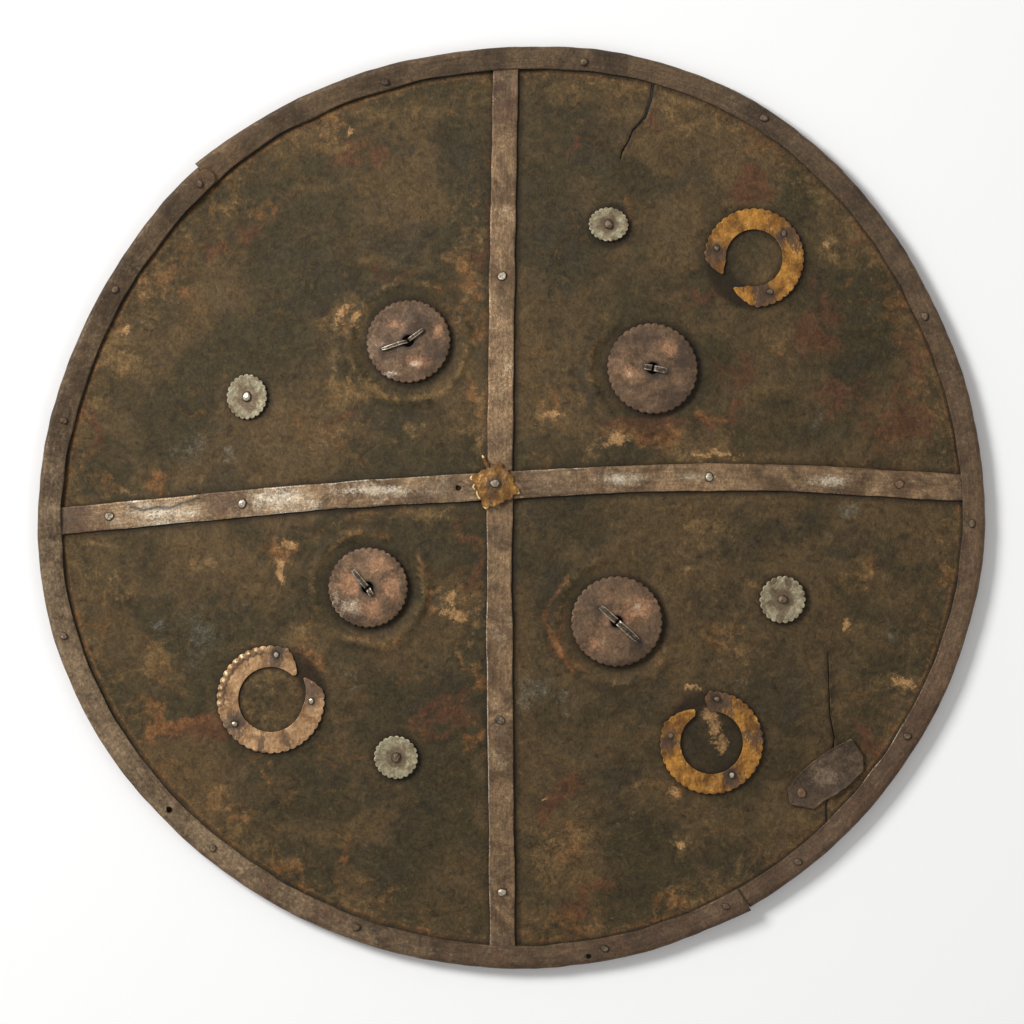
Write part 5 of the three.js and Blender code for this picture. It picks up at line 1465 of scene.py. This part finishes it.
def makeCrescent(crescent, seed):
    # a band bent round a centre, its outer edge toothed, its inner edge plain, both ends tapered
    startTip, startReach, startOuter, startInner = crescent["start"]
    endTip, endReach, endOuter, endInner = crescent["end"]

    def edge(key, startFull, endFull):
        # straight between the tips' reach and the band's full radius
        keys = [startTip, startFull, endFull, endTip]
        return np.interp(bearing, keys, [startReach, crescent[key], crescent[key], endReach])

    section = barSection(2.0, 1.0, 0.04, 22)
    share = (section[None, :, 0] + 1) / 2
    bearing = startTip + (endTip - startTip) * np.linspace(0, 1, 420)[:, None]
    outer = edge("outer", startOuter, endOuter) + crescentSheet["halfTip"]
    inner = edge("inner", startInner, endInner) - crescentSheet["halfTip"]
    toothPhase = bearing * crescent["outer"] * math.pi / 180 / crescentSheet["pitch"]
    arch = np.abs(np.sin(np.pi * toothPhase)) ** 0.6
    full = ease(bearing, startTip, startOuter) * ease(-bearing, -endTip, -endOuter)
    outer = outer - crescentSheet["toothDepth"] * (1 - arch) * full
    reach = inner + share * (outer - inner)
    x, y = polar(bearing, reach)
    flat = flatPoints(x, y)
    top = section[None, :, 1]
    isTop = top > 0.5
    fromEdge = outer - reach
    dents = (0.12 * ripple(flat, 9.0, seed) + 0.05 * ripple(flat, 3.0, seed + 1)) * isTop
    beaded = 0
    if crescent["beads"]:
        beadFrom, beadTo = crescent["beads"]
        beaded = ease(bearing, beadFrom - 4, beadFrom + 4) * ease(-bearing, -beadTo - 4, -beadTo + 4)
    beads = 0.9 * beaded * arch**2 * bell(fromEdge - 1.7, 1.2) * isTop
    tooled = 0.12 * arch * bell(fromEdge - 1.2, 1.0) * isTop
    lift = straps["gap"] + top * crescentSheet["thickness"] + dents + beads + tooled
    points = onFace(x + crescent["x"], y + crescent["y"], lift)
    onEdge = np.maximum(bell(fromEdge, 0.7), bell(reach - inner, 0.6)) * isTop
    stain = np.max([bell(turnApart(bearing, at), spread) for at, spread in crescent["stains"]], axis=0)
    # dirt in the grooves between the beads and round the nails
    grooves = bell(fromEdge - 3.5, 0.6) + (1 - arch) ** 2 * bell(fromEdge - 1.4, 1.6)
    grime = 0.9 * beaded * np.clip(grooves, 0, 1)
    for nailX, nailY in crescent["nails"]:
        grime = np.maximum(grime, 0.95 * bell(np.hypot(x - nailX, y - nailY), 4.2))
    marks = {"wear": 0.52 * onEdge + 0.9 * beads, "stain": stain, "grime": grime}
    bandPiece(f"crescent.{crescent['name']}", points, marks, brass[crescent["finish"]],
              [f"crescent_{crescent['name']}"])


for index, crescent in enumerate(crescents):
    makeCrescent(crescent, 131 + 4 * index)

# Repair plate

def makePlate():
    # a star-shaped skin: rays from a middle out to the plate's outline, over its top, edge and sole
    corners = np.array(plate["corners"])
    middle = corners.mean(axis=0)
    loop = np.concatenate([corners, corners[:1]]) - middle
    share = np.linspace(0, 1, 40)[:, None]
    dense = np.concatenate([a + (b - a) * share for a, b in zip(loop[:-1], loop[1:])])
    angles = np.unwrap(np.arctan2(dense[:, 1], dense[:, 0]))
    around = np.linspace(angles[0], angles[0] + 2 * math.pi, 240, endpoint=False)
    edge = smoothLoop(np.interp(around, angles, np.hypot(dense[:, 0], dense[:, 1])), 5)
    across, under = discSection(28, 8, 0.03, 0.05)
    x = middle[0] + edge[:, None] * across * np.cos(around)[:, None]
    y = middle[1] + edge[:, None] * across * np.sin(around)[:, None]
    flat = flatPoints(x, y)
    fold = lineDistance(x, y, plate["fold"])
    dents = 0.22 * ripple(flat, 17.0, 151) + 0.1 * ripple(flat, 6.0, 152) + 0.55 * bell(fold, 2.2)
    lip = 0.35 * ease(across, 0.86, 1.0)
    bed = straps["gap"] + plate["thickness"] * (1 - under) + (np.maximum(dents, -0.2) + lip) * (1 - under)
    points = onFace(x, y, bed)
    # the edge, the fold and one corner are rubbed
    wear = (0.45 * ease(across, 0.92, 0.985) + 0.4 * bell(fold, 1.2)) * (1 - under)
    wear = wear + 0.8 * spots(x, y, plate["bright"])
    rivetX, rivetY = plate["rivet"]
    marks = {"wear": wear, "grime": 0.4 * bell(np.hypot(x - rivetX, y - rivetY), 3.6),
             "pale": spots(x, y, plate["pale"])}
    top = onFace(*middle, straps["gap"] + plate["thickness"])
    bottom = onFace(*middle, straps["gap"])
    knobPiece("repairPlate", points, top, bottom, marks, iron["patchIron"], ["repair_plate"])


makePlate()
print("crescents and repair plate fitted")

# Rivets and nails

# head: its radius, rise: its height, shank: the shank's radius
rivets = {
    "rim": dict(head=2.1, rise=1.1, shank=1.0),
    "strap": dict(head=2.5, rise=1.1, shank=1.1),
    "disc": dict(head=2.7, rise=1.5, shank=1.1),
    "nail": dict(head=1.7, rise=0.9, shank=0.8),
    "peen": 0.7,            # height of the hammered end
    "underside": 0.12,      # from the foot of the dome down to the head's underside
    "behind": 0.4,          # how far a shank stands out behind the hide
    "clear": 0.15,          # of a rim rivet's end from the ground
    "corners": 28,          # round each rivet
}


def rivetProfile(size, reach, peened):
    # down from the top: a low round head, its underside, the shank, and the end behind
    head, shank, peen = size["head"], size["shank"], rivets["peen"]
    lean = np.radians(np.linspace(84, 0, 9))
    dome = np.stack([head * np.cos(lean), size["rise"] * np.sin(lean)], axis=1)
    steps = [[head * 0.97, -rivets["underside"]], [shank, -rivets["underside"]], [shank, -reach]]
    if peened:
        steps += [[head * 0.9, -reach], [head * 0.8, -reach - peen * 0.6], [head * 0.3, -reach - peen]]
    else:
        steps += [[shank * 0.5, -reach]]
    return np.concatenate([dome, np.array(steps)])


def makeRivet(name, node, size, reach, peened, place, seed, wear, grime, finish="rivetIron", flat=0.0):
    # the profile turned round, its head hammered a little out of round, and flattened by the share flat
    profile = rivetProfile(size, reach, peened)
    turns = np.linspace(0, 2 * math.pi, rivets["corners"], endpoint=False)[:, None]
    draw = np.random.default_rng(seed)
    oval = 1 + 0.09 * np.cos(2 * turns + draw.uniform(0, 6)) + 0.04 * np.cos(3 * turns + draw.uniform(0, 6))
    isHead = profile[None, :, 1] > -rivets["underside"] - 0.01
    radius = profile[None, :, 0] * np.where(isHead, oval, 1)
    crownHeight = size["rise"] * (1 - flat)
    z = np.broadcast_to(np.minimum(profile[None, :, 1], crownHeight), radius.shape)
    local = np.stack([radius * np.cos(turns), radius * np.sin(turns), z], axis=-1)
    local[..., 2] += 0.06 * ripple(local, 1.8, seed) * isHead
    top = [0, 0, crownHeight * 0.99]
    bottom = [0, 0, -reach - (rivets["peen"] if peened else 0)]
    placed = place(np.concatenate([local.reshape(-1, 3), [top], [bottom]]))
    points = placed[:-2].reshape(local.shape)
    crown = ease(z, size["rise"] * 0.3, size["rise"] * 0.8)
    marks = {"wear": wear * crown, "grime": grime * (1 - crown) * isHead, "pale": 0.6 * crown}
    knobPiece(name, points, placed[-2], placed[-1], marks, iron[finish], [node])


# bearing, depth in from the outline, wear and grime of each rim rivet
rimRivets = [(24.8, 7.5, 0.3, 0.4), (57, 5.2, 0.1, 0.6), (80.7, 7.2, 0.3, 0.5), (106.5, 8.2, 0.4, 0.4),
             (133.9, 7.0, 0.5, 0.6), (151.2, 6.0, 0.7, 0.5), (169, 6.9, 0.4, 0.4), (196, 5.2, 0.2, 0.5),
             (228.8, 6.4, 0.5, 0.3), (249.8, 6.9, 0.4, 0.4), (282, 6.6, 0.0, 0.7), (298.3, 6.9, 0.4, 0.9),
             (309, 6.0, 0.4, 0.8), (330, 6.9, 0.1, 0.5), (358, 6.9, 0.1, 0.5)]


def straightUp(x, y, height):
    # stands local points at a place without leaning them
    return lambda local: local + np.array([x, y, height])


def squareTo(x, y, lift):
    # stands local points square to the face
    return lambda local: standing(local, x, y, lift)


for index, (bearing, depth, wear, grime) in enumerate(rimRivets):
    x, y = rimPlace(bearing, depth)
    onLower = rim["upperJoint"] < bearing < rim["lowerJoint"]
    droop = rim["droop"] * float(ease(depth, rim["fold"], board["flange"]))
    lift = float(flangeLift(bearing)) if onLower else 0.0
    top = rim["height"] + straps["gap"] - droop * 0.8 + lift
    number = f"{index + 1:02d}"
    makeRivet(f"rimRivet.{number}", f"rim_rivet_{number}", rivets["rim"], top - rivets["clear"], False,
              straightUp(x, y, top), 161 + index, finish="patchIron", wear=wear * 0.5, grime=grime, flat=0.25)


def throughRivet(name, node, size, x, y, lift, seed, look):
    # a rivet whose head lies that much above the hide, its shank through it and peened behind
    reach = lift + 2 * straps["gap"] + board["thickness"] + rivets["behind"]
    makeRivet(name, node, size, reach, True, squareTo(x, y, lift + straps["gap"]), seed, **look)


strapTop = straps["gap"] + straps["thickness"]
for index, (height, look) in enumerate(straps["rivetsUp"]):
    x = float(np.interp(-height, -uprightLine[:, 1], uprightLine[:, 0]))
    throughRivet(f"strapRivet.upright{index + 1}", f"strap_rivet_vertical_{index + 1}", rivets["strap"],
                 x, height, strapTop, 181 + index, look)
for index, (x, look) in enumerate(straps["rivetsAcross"]):
    y = float(np.interp(x, levelLine[:, 0], levelLine[:, 1]))
    throughRivet(f"strapRivet.level{index + 1}", f"strap_rivet_horizontal_{index + 1}", rivets["strap"],
                 x, y, strapTop, 191 + index, look)
rosetteTop = 2 * strapTop + straps["gap"] + rosette["sheet"] + rosette["boss"]
throughRivet("rosetteRivet", "rosette_rivet", rivets["disc"], *rosettePlace, rosetteTop,
             201, rosette["rivet"])
for index, disc in enumerate(discs):
    throughRivet(f"discRivet.{disc['name']}", f"disc_rivet_{disc['name']}", rivets["disc"],
                 disc["x"], disc["y"], straps["gap"] + discSheet["thickness"], 211 + index, disc["rivet"])
throughRivet("repairRivet", "repair_rivet", rivets["disc"], *plate["rivet"],
             straps["gap"] + plate["thickness"], 221, plate["rivetLook"])
for crescent in crescents:
    for index, (dx, dy) in enumerate(crescent["nails"]):
        name = f"{crescent['name']}_{index + 1}"
        lift = 2 * straps["gap"] + crescentSheet["thickness"]
        makeRivet(f"crescentNail.{name}", f"crescent_nail_{name}", rivets["nail"],
                  crescentSheet["nailLength"], False, squareTo(crescent["x"] + dx, crescent["y"] + dy, lift),
                  231 + index, wear=crescent["shine"][index], grime=0.9)
print("rivets and nails driven")

# Ground and lights

# sizes and places in metres, powers in watts
studio = {
    "ground": 6.0, "groundColor": (0.93, 0.93, 0.925, 1), "groundRough": 0.9,
    "keyPlace": (-2.0, 1.3, 2.0), "keySize": 1.0, "keyPower": 92.0,
    "fillPlace": (1.9, -0.9, 2.6), "fillSize": 2.2, "fillPower": 16.0,
    "sky": 0.36,
}


def makeGround():
    # one pale square under the shield
    half = studio["ground"] / 2
    mesh = bpy.data.meshes.new("ground")
    corners = [(-half, -half, 0), (half, -half, 0), (half, half, 0), (-half, half, 0)]
    mesh.from_pydata(corners, [], [(0, 1, 2, 3)])
    material, _, shader, _ = startMaterial("paleGround")
    shader["Base Color"].default_value = studio["groundColor"]
    shader["Roughness"].default_value = studio["groundRough"]
    mesh.materials.append(material)
    ground = addObject("ground", mesh)


def makeLight(name, place, size, power):
    # a square soft box aimed at the middle of the shield
    data = bpy.data.lights.new(name, "AREA")
    data.size = size
    data.energy = power
    light = addObject(name, data)
    light.location = place
    x, y, z = place
    light.rotation_euler = (math.atan2(math.hypot(x, y), z), 0, math.atan2(x, -y))


makeGround()
makeLight("key", studio["keyPlace"], studio["keySize"], studio["keyPower"])
makeLight("fill", studio["fillPlace"], studio["fillSize"], studio["fillPower"])
world = bpy.data.worlds.new("sky")
bpy.context.scene.world = world
world.use_nodes = True
world.node_tree.nodes["Background"].inputs[0].default_value = (1, 1, 1, 1)
world.node_tree.nodes["Background"].inputs[1].default_value = studio["sky"]
bpy.context.scene.view_settings.view_transform = "Standard"
print("ground and lights set")
